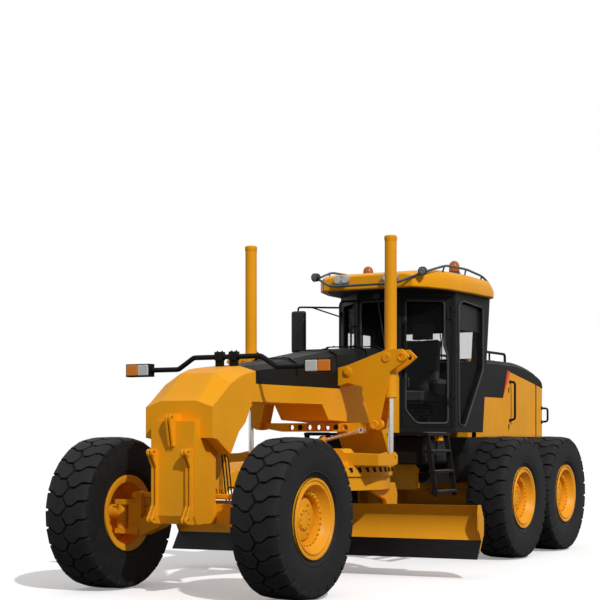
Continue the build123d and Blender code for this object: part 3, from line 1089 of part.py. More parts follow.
with BuildPart() as left_leaf:
    door_slab([(door_near, door_low), (door_far, door_low), (door_far, door_high),
               (door_near, door_high)], -DOOR_THICKNESS, 0)
    door_slab(door_window, -DOOR_THICKNESS - 5, 5, Mode.SUBTRACT)
    for hinge_z in DOOR_HINGES_Z:
        hinge_top = hinge_z + DOOR_HINGE_HEIGHT
        disc_z(door_hinge.X, door_hinge.Y, hinge_z, hinge_top, DOOR_HINGE_RADIUS)
        door_slab([(hinge_u - 60, hinge_z), (hinge_u, hinge_z), (hinge_u, hinge_top),
                   (hinge_u - 60, hinge_top)], 0, DOOR_HINGE_OUT)
    # grab handle beside the latch
    for post_z in (2310, 2860):
        door_slab([(door_near + 10, post_z), (door_near + 34, post_z), (door_near + 34, post_z + 24),
                   (door_near + 10, post_z + 24)], 0, 62)
    grab = door_plane.from_local_coords((door_near + 22, 0, 56))
    disc_z(grab.X, grab.Y, 2280, 2914, 12)

with BuildPart() as left_pane:
    door_slab(door_window, -26 - GLASS, -26)

for side, sign in SIDES.items():
    with BuildPart() as door:
        add(left_leaf.part if sign > 0 else mirror(left_leaf.part, about=Plane.XZ, mode=Mode.PRIVATE))
    save(door, f"door_{side}")
    with BuildPart() as door_glass:
        add(left_pane.part if sign > 0 else mirror(left_pane.part, about=Plane.XZ, mode=Mode.PRIVATE))
    save(door_glass, f"door_glass_{side}")

# Cab inside: seat, floor console and steering column
SEAT_X = CAB_X - 1000
FLOOR_Z = CAB_BOTTOM_Z + CAB_WALL
with BuildPart() as cab_seat:
    block(SEAT_X - 200, SEAT_X + 200, -180, 180, FLOOR_Z, FLOOR_Z + 330)
    block(SEAT_X - 260, SEAT_X + 280, -270, 270, FLOOR_Z + 330, FLOOR_Z + 460)
    back = [(-250, FLOOR_Z + 460), (-130, FLOOR_Z + 460), (-230, FLOOR_Z + 1130),
            (-330, FLOOR_Z + 1130)]
    side_slab(moved(back, SEAT_X), -250, 250)
    head = [(-250, FLOOR_Z + 1130), (-310, FLOOR_Z + 1130), (-330, FLOOR_Z + 1330),
            (-250, FLOOR_Z + 1330)]
    side_slab(moved(head, SEAT_X), -140, 140)
    for sign in SIDES.values():
        block(SEAT_X - 200, SEAT_X + 200, sign * 270, sign * 380, FLOOR_Z + 420, FLOOR_Z + 620)
save(cab_seat, "cab_seat")

with BuildPart() as cab_console:
    column_side = [(-330, FLOOR_Z), (-150, FLOOR_Z), (-240, FLOOR_Z + 620), (-330, FLOOR_Z + 700),
                   (-420, FLOOR_Z + 640)]
    side_slab(moved(column_side, CAB_X), -110, 110)
save(cab_console, "cab_console")

# Roof: folded panel that overhangs the cab all round
ROOF_CROWN_Z = CAB_TOP_Z + 240
ROOF_STATIONS = [
    # behind the windscreen, half width, bottom Z, edge Z, crown Z
    (280, 600, CAB_TOP_Z, CAB_TOP_Z + 140, CAB_TOP_Z + 190),
    (-250, 830, CAB_TOP_Z, CAB_TOP_Z + 155, ROOF_CROWN_Z),
    (160 - CAB_LENGTH, 880, CAB_TOP_Z, CAB_TOP_Z + 145, ROOF_CROWN_Z),
    (-60 - CAB_LENGTH, 800, CAB_TOP_Z, CAB_TOP_Z + 65, CAB_TOP_Z + 115),
]
with BuildPart() as cab_roof:
    sections = []
    for x, half, bottom, edge, crown in ROOF_STATIONS:
        outline = [(-half, bottom), (half, bottom), (half, edge), (half - 180, crown),
                   (180 - half, crown), (-half, edge)]
        sections.append(face_of(outline, Plane.YZ.offset(CAB_X + x)))
    loft(sections=sections, ruled=True)
save(cab_roof, "cab_roof")

# Roof rail with its work lamps, and the two beacons
RAIL_TUBE = 16
ROOF_RAIL_Z = ROOF_CROWN_Z + 75
ROOF_RAIL_Y = 620
ROOF_LAMPS_Y = [-380, -220, 60, 360]
BEACON_X = CAB_X - 920
BEACON_Y = 600
BEACON_TOP_Z = ROOF_CROWN_Z + 187
BEACON_RADIUS = 70

with BuildPart() as roof_rail:
    rail_points = [
        (CAB_X - 720, ROOF_RAIL_Y, ROOF_RAIL_Z), (CAB_X + 100, ROOF_RAIL_Y, ROOF_RAIL_Z),
        (CAB_X + 390, ROOF_RAIL_Y - 190, ROOF_RAIL_Z - 20),
        (CAB_X + 390, 190 - ROOF_RAIL_Y, ROOF_RAIL_Z - 20),
        (CAB_X + 100, -ROOF_RAIL_Y, ROOF_RAIL_Z), (CAB_X - 720, -ROOF_RAIL_Y, ROOF_RAIL_Z),
    ]
    with BuildLine() as rail_path:
        FilletPolyline(*rail_points, radius=120)
    with BuildSketch(Plane(origin=rail_path.line @ 0, z_dir=rail_path.line % 0)):
        Circle(RAIL_TUBE)
    sweep(path=rail_path.line)
    for sign in SIDES.values():
        for post_x in (-700, -300):
            disc_z(CAB_X + post_x, sign * ROOF_RAIL_Y, ROOF_CROWN_Z, ROOF_RAIL_Z - 5, 14)
    # work lamps hung on the front of the rail
    for lamp_y in ROOF_LAMPS_Y:
        lamp_x = CAB_X + 390 + RAIL_TUBE
        block(lamp_x - 20, lamp_x + 50, lamp_y - 60, lamp_y + 60, ROOF_RAIL_Z - 70, ROOF_RAIL_Z + 20)
        block(lamp_x + 42, lamp_x + 50, lamp_y - 50, lamp_y + 50, ROOF_RAIL_Z - 60, ROOF_RAIL_Z + 10,
              Mode.SUBTRACT)
save(roof_rail, "roof_rail")

with BuildPart() as beacons:
    for sign in SIDES.values():
        disc_z(BEACON_X, sign * BEACON_Y, ROOF_CROWN_Z, ROOF_CROWN_Z + 45, BEACON_RADIUS + 8)
        disc_z(BEACON_X, sign * BEACON_Y, ROOF_CROWN_Z + 45, BEACON_TOP_Z, BEACON_RADIUS)
save(beacons, "beacons")

# Mirror on the right of the cab, on a bent tube arm
MIRROR_X = CAB_X - 350
MIRROR_Y = -1300
MIRROR_Z = 2860
MIRROR_ARM_Z = 3170
with BuildPart() as cab_mirror:
    block(MIRROR_X - 35, MIRROR_X + 35, MIRROR_Y - 100, MIRROR_Y + 100, MIRROR_Z - 265, MIRROR_Z + 265)
    mirror_foot_x = CAB_X - CAB_SHOULDER - 40
    block(mirror_foot_x - 30, mirror_foot_x + 30, -CAB_HALF_WIDTH - 14, -CAB_HALF_WIDTH,
          MIRROR_ARM_Z - 35, MIRROR_ARM_Z + 35)
    bar((mirror_foot_x, -CAB_HALF_WIDTH - 8, MIRROR_ARM_Z), (MIRROR_X - 50, MIRROR_Y, MIRROR_ARM_Z), 14)
    bar((MIRROR_X - 50, MIRROR_Y, MIRROR_ARM_Z + 14), (MIRROR_X - 50, MIRROR_Y, MIRROR_Z - 100), 14)
    block(MIRROR_X - 60, MIRROR_X, MIRROR_Y - 20, MIRROR_Y + 20, MIRROR_Z - 80, MIRROR_Z + 120)
save(cab_mirror, "cab_mirror")

# Ladders and platforms below the doors
LADDER_FRONT_X = CAB_X + 310
LADDER_REAR_X = CAB_X - 230
LADDER_TOP_Y = 800
LADDER_FOOT_Y = 915
LADDER_FOOT_Z = 835
LADDER_STEPS = 3
PLATFORM_Z = 1540
PLATFORM = 36

with BuildPart() as ladders:
    for sign in SIDES.values():
        deck = [
            (LADDER_FRONT_X + 30, NECK_HALF_WIDTH), (LADDER_FRONT_X + 30, LADDER_TOP_Y + 30),
            (LADDER_REAR_X - 60, LADDER_TOP_Y + 30), (LADDER_REAR_X - 220, CAB_HALF_WIDTH - 50),
            (LADDER_REAR_X - 220, NECK_HALF_WIDTH),
        ]
        plan_slab([(x, sign * y) for x, y in deck], PLATFORM_Z, PLATFORM_Z + PLATFORM)
        for stringer_x in (LADDER_FRONT_X, LADDER_REAR_X):
            stringer = [
                (sign * (LADDER_TOP_Y - 30), PLATFORM_Z), (sign * (LADDER_TOP_Y + 30), PLATFORM_Z),
                (sign * (LADDER_FOOT_Y + 30), LADDER_FOOT_Z), (sign * (LADDER_FOOT_Y - 30), LADDER_FOOT_Z),
            ]
            cross_slab(stringer, stringer_x - 12, stringer_x + 12)
        for step in range(LADDER_STEPS):
            share = (step + 0.15) / LADDER_STEPS
            step_y = LADDER_FOOT_Y + share * (LADDER_TOP_Y - LADDER_FOOT_Y)
            step_z = LADDER_FOOT_Z + share * (PLATFORM_Z - LADDER_FOOT_Z)
            block(LADDER_REAR_X, LADDER_FRONT_X, sign * (step_y - 60), sign * (step_y + 45),
                  step_z, step_z + 28)
save(ladders, "ladders")


# Rear frame: tongue for the hitch, then a box between the tandems under the hood
REAR_FRAME_HALF = 500
REAR_FRAME_TOP_Z = 1520
REAR_FRAME_BOTTOM_Z = 1090
REAR_FRAME_START = 400    # behind the articulation pin
BUMPER_DEPTH = 110
BUMPER_LOW_Z = 1000
BUMPER_HALF = 560
BOLT_SPACING_Y = 600
BOLT_SPACING_Z = 250
BOLT_RADIUS = 13
BOLT_MIDDLE_Z = 1265

frame_rear_x = REAR_X + BUMPER_DEPTH
tongue_low = hitch_tongue_z
tongue_high = hitch_tongue_z + HITCH_TONGUE

with BuildPart() as rear_frame:
    disc_z(HITCH_X, 0, tongue_low, tongue_high, HITCH_LUG_RADIUS - 10)
    tongue = [
        (HITCH_X, HITCH_LUG_RADIUS - 10), (HITCH_X - 180, HITCH_LUG_RADIUS + 30),
        (HITCH_X - REAR_FRAME_START, REAR_FRAME_HALF - 60),
        (HITCH_X - REAR_FRAME_START - 300, REAR_FRAME_HALF - 60),
    ]
    tongue += [(x, -y) for x, y in reversed(tongue)]
    plan_slab(tongue, tongue_low, tongue_high)
    side = [
        (HITCH_X - REAR_FRAME_START, tongue_low), (HITCH_X - REAR_FRAME_START, 1250),
        (HITCH_X - REAR_FRAME_START - 250, REAR_FRAME_TOP_Z), (frame_rear_x, REAR_FRAME_TOP_Z),
        (frame_rear_x, REAR_FRAME_BOTTOM_Z), (HITCH_X - REAR_FRAME_START - 500, REAR_FRAME_BOTTOM_Z),
        (HITCH_X - REAR_FRAME_START - 300, tongue_low),
    ]
    side_slab(side, -REAR_FRAME_HALF, REAR_FRAME_HALF)
    # the open well between the side plates
    block(frame_rear_x + 60, HITCH_X - REAR_FRAME_START - 560, -REAR_FRAME_HALF + 60,
          REAR_FRAME_HALF - 60, REAR_FRAME_BOTTOM_Z - 10, REAR_FRAME_TOP_Z - 40, Mode.SUBTRACT)
    disc_z(HITCH_X, 0, tongue_low, tongue_high, HITCH_PIN_RADIUS + PIN_GAP, Mode.SUBTRACT)
save(rear_frame, "rear_frame")

with BuildPart() as rear_bumper:
    bumper = [
        (REAR_X, BUMPER_LOW_Z + 60), (REAR_X + 50, BUMPER_LOW_Z), (frame_rear_x, BUMPER_LOW_Z),
        (frame_rear_x, REAR_FRAME_TOP_Z), (REAR_X, REAR_FRAME_TOP_Z),
    ]
    side_slab(bumper, -BUMPER_HALF, BUMPER_HALF)
    for y in (-BOLT_SPACING_Y / 2, BOLT_SPACING_Y / 2):
        for z in (BOLT_MIDDLE_Z - BOLT_SPACING_Z / 2, BOLT_MIDDLE_Z + BOLT_SPACING_Z / 2):
            disc_x(y, z, REAR_X - 5, REAR_X + 60, BOLT_RADIUS, Mode.SUBTRACT)
save(rear_bumper, "rear_bumper")

# Tandem axle: cross tube and a chain case on each side with two wheel spindles
CASE_INNER_Y = 640
CASE_OUTER_Y = 785
CASE_RADIUS = 250
AXLE_TUBE_RADIUS = 170
SPINDLE_RADIUS = 190

with BuildPart() as tandem_axle:
    disc_y(TANDEM_X, TYRE_RADIUS, -CASE_INNER_Y - 20, CASE_INNER_Y + 20, AXLE_TUBE_RADIUS)
    block(TANDEM_X - 150, TANDEM_X + 150, -REAR_FRAME_HALF, REAR_FRAME_HALF, TYRE_RADIUS,
          REAR_FRAME_BOTTOM_Z)
    for sign in SIDES.values():
        half = TANDEM_SPACING / 2
        case = [
            (-half, -CASE_RADIUS), (half, -CASE_RADIUS), (half, CASE_RADIUS), (120, CASE_RADIUS + 60),
            (-120, CASE_RADIUS + 60), (-half, CASE_RADIUS),
        ]
        side_slab(moved(case, TANDEM_X, TYRE_RADIUS), sign * CASE_INNER_Y, sign * CASE_OUTER_Y)
        for end in (-half, half):
            disc_y(TANDEM_X + end, TYRE_RADIUS, sign * CASE_INNER_Y, sign * CASE_OUTER_Y, CASE_RADIUS)
            disc_y(TANDEM_X + end, TYRE_RADIUS, sign * CASE_OUTER_Y,
                   sign * (disc_inner_y - RUNNING_GAP), SPINDLE_RADIUS)
save(tandem_axle, "tandem_axle")

# Engine hood: sheet shell over a plain engine block
HOOD_FRONT_X = CAB_X - CAB_LENGTH - 200
HOOD_HALF_WIDTH = 520
HOOD_TOP_Z = 2540
HOOD_WALL = 40
HOOD_EDGE = 60
HOOD_TAIL = 1060          # length over which the top falls to the rear
HOOD_REAR_X = frame_rear_x
GRILLE_SLOTS = 7
GRILLE_PITCH = 90
GRILLE_LOW_Z = 1600
GRILLE_HALF = 400
GRILLE_DEPTH = 18

hood_side = [
    (HOOD_REAR_X, REAR_FRAME_TOP_Z), (HOOD_FRONT_X, REAR_FRAME_TOP_Z),
    (HOOD_FRONT_X, HOOD_TOP_Z), (HOOD_REAR_X + HOOD_TAIL, HOOD_TOP_Z),
    (HOOD_REAR_X + 0.6 * HOOD_TAIL, HOOD_TOP_Z - 40), (HOOD_REAR_X + 0.2 * HOOD_TAIL, HOOD_TOP_Z - 120),
    (HOOD_REAR_X, HOOD_TOP_Z - 260),
]
with BuildPart() as hood_cavity:
    cavity_side = [
        (HOOD_REAR_X + HOOD_WALL, REAR_FRAME_TOP_Z - 10), (HOOD_FRONT_X - HOOD_WALL, REAR_FRAME_TOP_Z - 10),
        (HOOD_FRONT_X - HOOD_WALL, HOOD_TOP_Z - HOOD_WALL),
        (HOOD_REAR_X + HOOD_TAIL, HOOD_TOP_Z - HOOD_WALL),
        (HOOD_REAR_X + 0.6 * HOOD_TAIL, HOOD_TOP_Z - 40 - HOOD_WALL),
        (HOOD_REAR_X + 0.2 * HOOD_TAIL, HOOD_TOP_Z - 120 - HOOD_WALL),
        (HOOD_REAR_X + HOOD_WALL, HOOD_TOP_Z - 260),
    ]
    side_slab(cavity_side, HOOD_WALL - HOOD_HALF_WIDTH, HOOD_HALF_WIDTH - HOOD_WALL)

with BuildPart() as engine_hood:
    side_slab(hood_side, -HOOD_HALF_WIDTH, HOOD_HALF_WIDTH)
    long_edges = engine_hood.edges().filter_by(Axis.X).group_by(Axis.Z)[-1]
    chamfer(long_edges, HOOD_EDGE)
    front_corners = engine_hood.edges().filter_by(Axis.Z).group_by(Axis.X)[-1]
    chamfer(front_corners, 2 * HOOD_EDGE)
    add(hood_cavity.part, mode=Mode.SUBTRACT)
    # slats of the radiator grille in the rear wall
    for slot in range(GRILLE_SLOTS):
        slot_z = GRILLE_LOW_Z + slot * GRILLE_PITCH
        block(HOOD_REAR_X, HOOD_REAR_X + GRILLE_DEPTH, -GRILLE_HALF, GRILLE_HALF, slot_z,
              slot_z + GRILLE_PITCH / 2, Mode.SUBTRACT)
save(engine_hood, "engine_hood")

ENGINE_FRONT_X = HOOD_FRONT_X - 260
ENGINE_LENGTH = 1400
ENGINE_HALF = 330
ENGINE_HEIGHT = 720
with BuildPart() as engine_block:
    block(ENGINE_FRONT_X - ENGINE_LENGTH, ENGINE_FRONT_X, -ENGINE_HALF, ENGINE_HALF,
          REAR_FRAME_TOP_Z, REAR_FRAME_TOP_Z + ENGINE_HEIGHT)
save(engine_block, "engine_block")

# Hood rails: handrail along each top edge and a grab handle on each side
HOOD_RAIL_Z = 2690
HOOD_RAIL_Y = 430
HOOD_RAIL_END = 1000      # behind the hood's front
GRIP_SETBACK = 1390
with BuildPart() as hood_rails:
    for sign in SIDES.values():
        y = sign * HOOD_RAIL_Y
        bar((HOOD_FRONT_X - 60, y, HOOD_RAIL_Z), (HOOD_FRONT_X - HOOD_RAIL_END, y, HOOD_RAIL_Z), 16)
        for post_x in (HOOD_FRONT_X - 80, HOOD_FRONT_X - HOOD_RAIL_END / 2,
                       HOOD_FRONT_X - HOOD_RAIL_END + 16):
            disc_z(post_x, y, HOOD_TOP_Z, HOOD_RAIL_Z, 15)
        grip_x = HOOD_FRONT_X - GRIP_SETBACK
        for grip_z in (1900, 2330):
            block(grip_x - 14, grip_x + 14, sign * HOOD_HALF_WIDTH, sign * (HOOD_HALF_WIDTH + 45),
                  grip_z, grip_z + 28)
        block(grip_x - 14, grip_x + 14, sign * (HOOD_HALF_WIDTH + 25), sign * (HOOD_HALF_WIDTH + 50),
              1900, 2358)
save(hood_rails, "hood_rails")
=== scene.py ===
# Looks of the motor grader: paint, tyres, rims, hood, cab fittings, lamps, light and camera.
# Everything is in metres, in the frame of the CAD: X forward, Y to the machine's left, Z up.
import math

import bmesh
import bpy
from mathutils import Matrix, Vector


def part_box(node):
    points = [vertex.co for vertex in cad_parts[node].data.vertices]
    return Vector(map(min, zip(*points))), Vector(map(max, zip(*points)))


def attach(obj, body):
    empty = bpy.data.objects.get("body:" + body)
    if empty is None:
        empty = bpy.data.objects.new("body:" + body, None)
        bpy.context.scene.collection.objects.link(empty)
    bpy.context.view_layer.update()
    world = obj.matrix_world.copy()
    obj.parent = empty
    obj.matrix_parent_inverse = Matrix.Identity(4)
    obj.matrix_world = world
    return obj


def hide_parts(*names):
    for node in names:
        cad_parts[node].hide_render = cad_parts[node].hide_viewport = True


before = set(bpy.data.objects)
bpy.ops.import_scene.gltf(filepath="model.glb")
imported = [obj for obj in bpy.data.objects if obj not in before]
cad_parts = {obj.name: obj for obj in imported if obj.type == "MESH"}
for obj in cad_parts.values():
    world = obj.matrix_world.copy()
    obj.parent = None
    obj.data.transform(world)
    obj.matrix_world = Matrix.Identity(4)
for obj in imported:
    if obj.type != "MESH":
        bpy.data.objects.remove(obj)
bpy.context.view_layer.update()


# Viewpoint: level, from the machine's front left, with the horizon low in the picture.
# The shift keeps the upright edges upright.
VIEW_FROM = (15.4276, 7.8908, 1.5479)
VIEW_AIM = Vector((-0.8665, -0.4991, 0))
view = bpy.data.cameras.new("camera")
view.lens = 86.64
view.sensor_width = 36.0
view.shift_y = 0.225
view.clip_end = 200.0
viewpoint = bpy.data.objects.new("camera", view)
viewpoint.location = VIEW_FROM
viewpoint.rotation_euler = VIEW_AIM.to_track_quat("-Z", "Y").to_euler()
bpy.context.scene.collection.objects.link(viewpoint)
bpy.context.scene.camera = viewpoint


# Front frame: nose box, goose-neck beam and bolster, welded from thick plate and sprayed with
# two coats of yellow machine paint. Dust gathers low down, and edges are softened by the blast.
MIX_FACTOR, MIX_BELOW, MIX_ABOVE, MIX_RESULT = 0, 6, 7, 2  # a colour mix's sockets, by number


class Finish:
    """A material and short ways to add nodes to it."""

    def __init__(self, name):
        self.material = bpy.data.materials.new(name)
        self.material.use_nodes = True
        self.tree = self.material.node_tree
        self.shader = self.tree.nodes["Principled BSDF"]

    def node(self, kind, **values):
        made = self.tree.nodes.new(kind)
        for key, value in values.items():
            if key in made.inputs:
                made.inputs[key].default_value = value
            else:
                setattr(made, key, value)
        return made

    def link(self, source, output, target, socket):
        self.tree.links.new(source.outputs[output], target.inputs[socket])

    def fix(self, socket, value):
        """Set a plain value on the shader."""
        self.shader.inputs[socket].default_value = value

    def place(self, scale=(1, 1, 1)):
        """The piece's own coordinates, stretched along the axes."""
        origin = self.node("ShaderNodeTexCoord")
        stretch = self.node("ShaderNodeMapping", Scale=scale)
        self.link(origin, "Object", stretch, "Vector")
        return stretch

    def noise(self, scale, detail=4.0, roughness=0.55, stretch=(1, 1, 1)):
        made = self.node("ShaderNodeTexNoise", Scale=scale, Detail=detail, Roughness=roughness)
        self.link(self.place(stretch), "Vector", made, "Vector")
        return made

    def ramp(self, source, output, stops):
        """A colour ramp over a value; stops are (place, colour)."""
        made = self.node("ShaderNodeValToRGB")
        elements = made.color_ramp.elements
        for element, (place, colour) in zip(elements, stops):
            element.position = place
            element.color = (*colour, 1)
        self.link(source, output, made, "Fac")
        return made

    def gloss(self, source, output, low, high):
        """Roughness between two values, by a value."""
        spread = self.node("ShaderNodeMapRange")
        spread.inputs["To Min"].default_value = low
        spread.inputs["To Max"].default_value = high
        self.link(source, output, spread, "Value")
        self.link(spread, "Result", self.shader, "Roughness")

    def bump(self, source, output, strength, distance, edge=0.0):
        """Bump the surface by a value, over edges softened to a radius."""
        made = self.node("ShaderNodeBump", Strength=strength, Distance=distance)
        self.link(source, output, made, "Height")
        if edge:
            soft = self.node("ShaderNodeBevel", samples=4)
            soft.inputs["Radius"].default_value = edge
            self.link(soft, "Normal", made, "Normal")
        self.link(made, "Normal", self.shader, "Normal")


def shade(colour, factor):
    """A colour made darker or lighter."""
    return tuple(min(1.0, part * factor) for part in colour)


DUST = (0.2, 0.13, 0.07)
DUST_TOP, DUST_FULL = 1.7, 0.2  # heights where it starts and where it is thickest


def paint(name, colour, roughness, specular, dust, edge=0.006):
    """Machine paint: slight colour drift, orange peel, and dust that thickens to the ground."""
    finish = Finish(name)
    drift = finish.noise(1.4, 5.0)
    tone = finish.ramp(drift, "Fac", [(0.3, shade(colour, 0.92)), (0.7, shade(colour, 1.04))])
    grime = finish.noise(6.5, 8.0, 0.7)
    height = finish.node("ShaderNodeSeparateXYZ")
    finish.link(finish.place(), "Vector", height, "Vector")
    low = finish.node("ShaderNodeMapRange")
    low.inputs["From Min"].default_value = DUST_TOP
    low.inputs["From Max"].default_value = DUST_FULL
    low.inputs["To Max"].default_value = dust
    finish.link(height, "Z", low, "Value")
    amount = finish.node("ShaderNodeMath", operation="MULTIPLY")
    finish.link(low, "Result", amount, 0)
    finish.link(grime, "Fac", amount, 1)
    dirt = finish.node("ShaderNodeMix", data_type="RGBA")
    dirt.inputs[MIX_ABOVE].default_value = (*DUST, 1)
    finish.link(amount, "Value", dirt, MIX_FACTOR)
    finish.link(tone, "Color", dirt, MIX_BELOW)
    finish.link(dirt, MIX_RESULT, finish.shader, "Base Color")
    finish.fix("Specular IOR Level", specular)
    finish.gloss(grime, "Fac", roughness - 0.06, roughness + 0.1)
    finish.bump(finish.noise(160.0, 2.0), "Fac", 0.05, 0.002, edge)
    return finish.material


def coat(material, nodes):
    """Give a finish to the named CAD pieces."""
    for name in nodes.split():
        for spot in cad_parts[name].material_slots:
            spot.material = material


class Shape:
    """Vertices and faces gathered for one piece."""

    def __init__(self):
        self.verts = []
        self.faces = []

    def add(self, verts, faces):
        start = len(self.verts)
        self.verts += [tuple(v) for v in verts]
        self.faces += [tuple(start + i for i in face) for face in faces]

    def prism(self, outline, run):
        """Push a flat outline of 3-D points along a vector."""
        count = len(outline)
        far = [Vector(p) + Vector(run) for p in outline]
        sides = [(i, (i + 1) % count, count + (i + 1) % count, count + i) for i in range(count)]
        self.add(list(outline) + far,
                 sides + [tuple(reversed(range(count))), tuple(range(count, 2 * count))])

    def side_plate(self, outline, y_from, y_to):
        """A plate with an X-Z outline between two Y places."""
        self.prism([(x, y_from, z) for x, z in outline], (0, y_to - y_from, 0))

    def cross_plate(self, outline, x_from, x_to):
        """A plate with a Y-Z outline between two X places."""
        self.prism([(x_from, y, z) for y, z in outline], (x_to - x_from, 0, 0))

    def box(self, low, high):
        """A straight block between two corners."""
        self.cross_plate([(low[1], low[2]), (high[1], low[2]), (high[1], high[2]),
                          (low[1], high[2])], low[0], high[0])

    def side_box(self, sign, low, high):
        """A block on one side of the machine; Y is measured outward from its middle."""
        near, far = sorted((sign * low[1], sign * high[1]))
        self.box((low[0], near, low[2]), (high[0], far, high[2]))

    def turned(self, profile, origin, axis, steps=48, closed=False):
        """Turn a profile of (along the axis, radius) about an axis."""
        axis = Vector(axis).normalized()
        side = axis.orthogonal().normalized()
        other = axis.cross(side)
        count = len(profile)
        verts, faces = [], []
        for step in range(steps):
            angle = 2 * math.pi * step / steps
            out = side * math.cos(angle) + other * math.sin(angle)
            verts += [Vector(origin) + axis * along + out * radius for along, radius in profile]
            here, there = step * count, (step + 1) % steps * count
            for i in range(count if closed else count - 1):
                j = (i + 1) % count
                faces.append((here + i, there + i, there + j, here + j))
        self.add(verts, faces)

    def ring(self, spot, axis, bore, radius, height, slope=0.0, steps=24):
        """A turned ring that stands on a face, with a hole and a sloping rim."""
        self.turned([(0, bore), (0, radius), (height, radius - slope), (height, bore)], spot, axis,
                    steps, closed=True)

    def rod(self, start, end, radius, sides=16):
        """A closed round bar between two points."""
        line = Vector(end) - Vector(start)
        ring = [(0, 0.0), (0, radius), (line.length, radius), (line.length, 0.0)]
        self.turned(ring, start, line, sides)

    def nut(self, spot, axis, across, height):
        """A hexagon bolt head on a washer, by its size across the flats."""
        axis = Vector(axis).normalized()
        self.rod(spot, Vector(spot) + axis * height * 0.25, across * 0.72, 14)
        turn = Matrix.Rotation(math.pi / 3, 3, axis)
        corner = axis.orthogonal().normalized() * across * 0.577
        hexagon = []
        for _ in range(6):
            hexagon.append(Vector(spot) + corner)
            corner = turn @ corner
        self.prism(hexagon, axis * height)

    def bolt_circle(self, middle, axis, count, radius, across, height):
        """Bolt heads evenly round a point, on a face that looks along Y or Z."""
        over = Vector((0, 0, 1)) if axis[1] else Vector((0, 1, 0))
        for number in range(count):
            angle = 2 * math.pi * number / count
            out = Vector((1, 0, 0)) * math.cos(angle) + over * math.sin(angle)
            self.nut(Vector(middle) + out * radius, axis, across, height)

    def tube(self, points, radius, sides=10, rounding=0.04):
        """A round tube along straight runs with rounded corners."""
        path = rounded(points, rounding)
        rings = []
        side = (path[1] - path[0]).orthogonal().normalized()
        for i, point in enumerate(path):
            before = path[i] - path[i - 1] if i else path[1] - path[0]
            after = path[i + 1] - path[i] if i + 1 < len(path) else before
            ahead = (before.normalized() + after.normalized()).normalized()
            side = (side - ahead * side.dot(ahead)).normalized()
            other = ahead.cross(side)
            for step in range(sides):
                angle = 2 * math.pi * step / sides
                rings.append(point + (side * math.cos(angle) + other * math.sin(angle)) * radius)
        faces = [tuple(reversed(range(sides))),
                 tuple((len(path) - 1) * sides + step for step in range(sides))]
        for i in range(len(path) - 1):
            for step in range(sides):
                after = (step + 1) % sides
                faces.append((i * sides + step, i * sides + after, (i + 1) * sides + after,
                              (i + 1) * sides + step))
        self.add(rings, faces)

    def lofted(self, sections):
        """Closed skin through outlines with equal counts of points."""
        count = len(sections[0])
        faces = [tuple(reversed(range(count))),
                 tuple((len(sections) - 1) * count + i for i in range(count))]
        for row in range(len(sections) - 1):
            for i in range(count):
                j = (i + 1) % count
                faces.append((row * count + i, row * count + j, (row + 1) * count + j,
                              (row + 1) * count + i))
        self.add([p for section in sections for p in section], faces)

    def mirrored(self):
        """Add the mirror image on the machine's other side."""
        start = len(self.verts)
        self.verts += [(x, -y, z) for x, y, z in self.verts]
        self.faces += [tuple(start + i for i in reversed(face)) for face in self.faces]

    def piece(self, name, body, material, slot, bevel=0.0, segments=2, replaces="", sharp=38):
        """Make the mesh object, soften its sharp edges and let it ride on a body."""
        mesh = bpy.data.meshes.new(name)
        mesh.from_pydata(self.verts, [], self.faces)
        work = bmesh.new()
        work.from_mesh(mesh)
        bmesh.ops.remove_doubles(work, verts=work.verts, dist=1e-5)
        bmesh.ops.recalc_face_normals(work, faces=work.faces)
        work.to_mesh(mesh)
        work.free()
        mesh.shade_smooth()
        mesh.set_sharp_from_angle(angle=math.radians(sharp))
        mesh.materials.append(material)
        made = bpy.data.objects.new(name, mesh)
        bpy.context.scene.collection.objects.link(made)
        if bevel:
            modifier = made.modifiers.new("bevel", "BEVEL")
            modifier.width = bevel
            modifier.segments = segments
            modifier.limit_method = "ANGLE"
            modifier.angle_limit = math.radians(sharp)
            modifier.harden_normals = True
        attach(made, body)
        if replaces:
            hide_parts(replaces)


def rounded(points, radius):
    """Points along straight runs whose corners are rounded."""
    steps = 5
    points = [Vector(p) for p in points]
    path = [points[0]]
    for before, corner, after in zip(points, points[1:], points[2:]):
        back, ahead = before - corner, after - corner
        reach = min(radius, back.length * 0.45, ahead.length * 0.45)
        start = corner + back.normalized() * reach
        end = corner + ahead.normalized() * reach
        for step in range(steps + 1):
            t = step / steps
            path.append((1 - t) ** 2 * start + 2 * t * (1 - t) * corner + t * t * end)
    path.append(points[-1])
    return path


yellow = paint("yellow_paint", (0.90, 0.372, 0.006), 0.45, 0.15, 0.25)
coat(yellow, "front_frame front_bolster")

AXLE_X = 3.7025
LUG_X, LUG_Y, LUG_HALF = AXLE_X + 0.525, 0.197, 0.03
LUG_HOLES, LUG_BORE = (1.38, 0.74), 0.0165

bushes = Shape()
for lug_y in (-LUG_Y, LUG_Y):
    for hole_z in LUG_HOLES:
        for face in (-1, 1):
            bushes.ring((LUG_X, lug_y + face * LUG_HALF, hole_z), (0, face, 0), LUG_BORE, 0.034,
                        0.006, slope=0.002)
bushes.piece("lug_bushes", "front_frame", yellow, "yellow_paint")


# Cowl: folded black sheet over the hoses along the goose-neck, held by straps with bolts.
# It is powder coated, smooth and a little glossy on top.
black = paint("black_paint", (0.0105, 0.0108, 0.0098), 0.5, 0.07, 0.1)
coat(black, "frame_cowl")

STRAPS = ((1.44, 2.428), (2.30, 2.295), (0.72, 2.503), (0.28, 2.524))  # X, cowl edge's height
STRAP_HALF, STRAP_DROP, RIDGE_RISE, STRAP_BOLT_Y = 0.022, 0.12, 0.055, 0.13

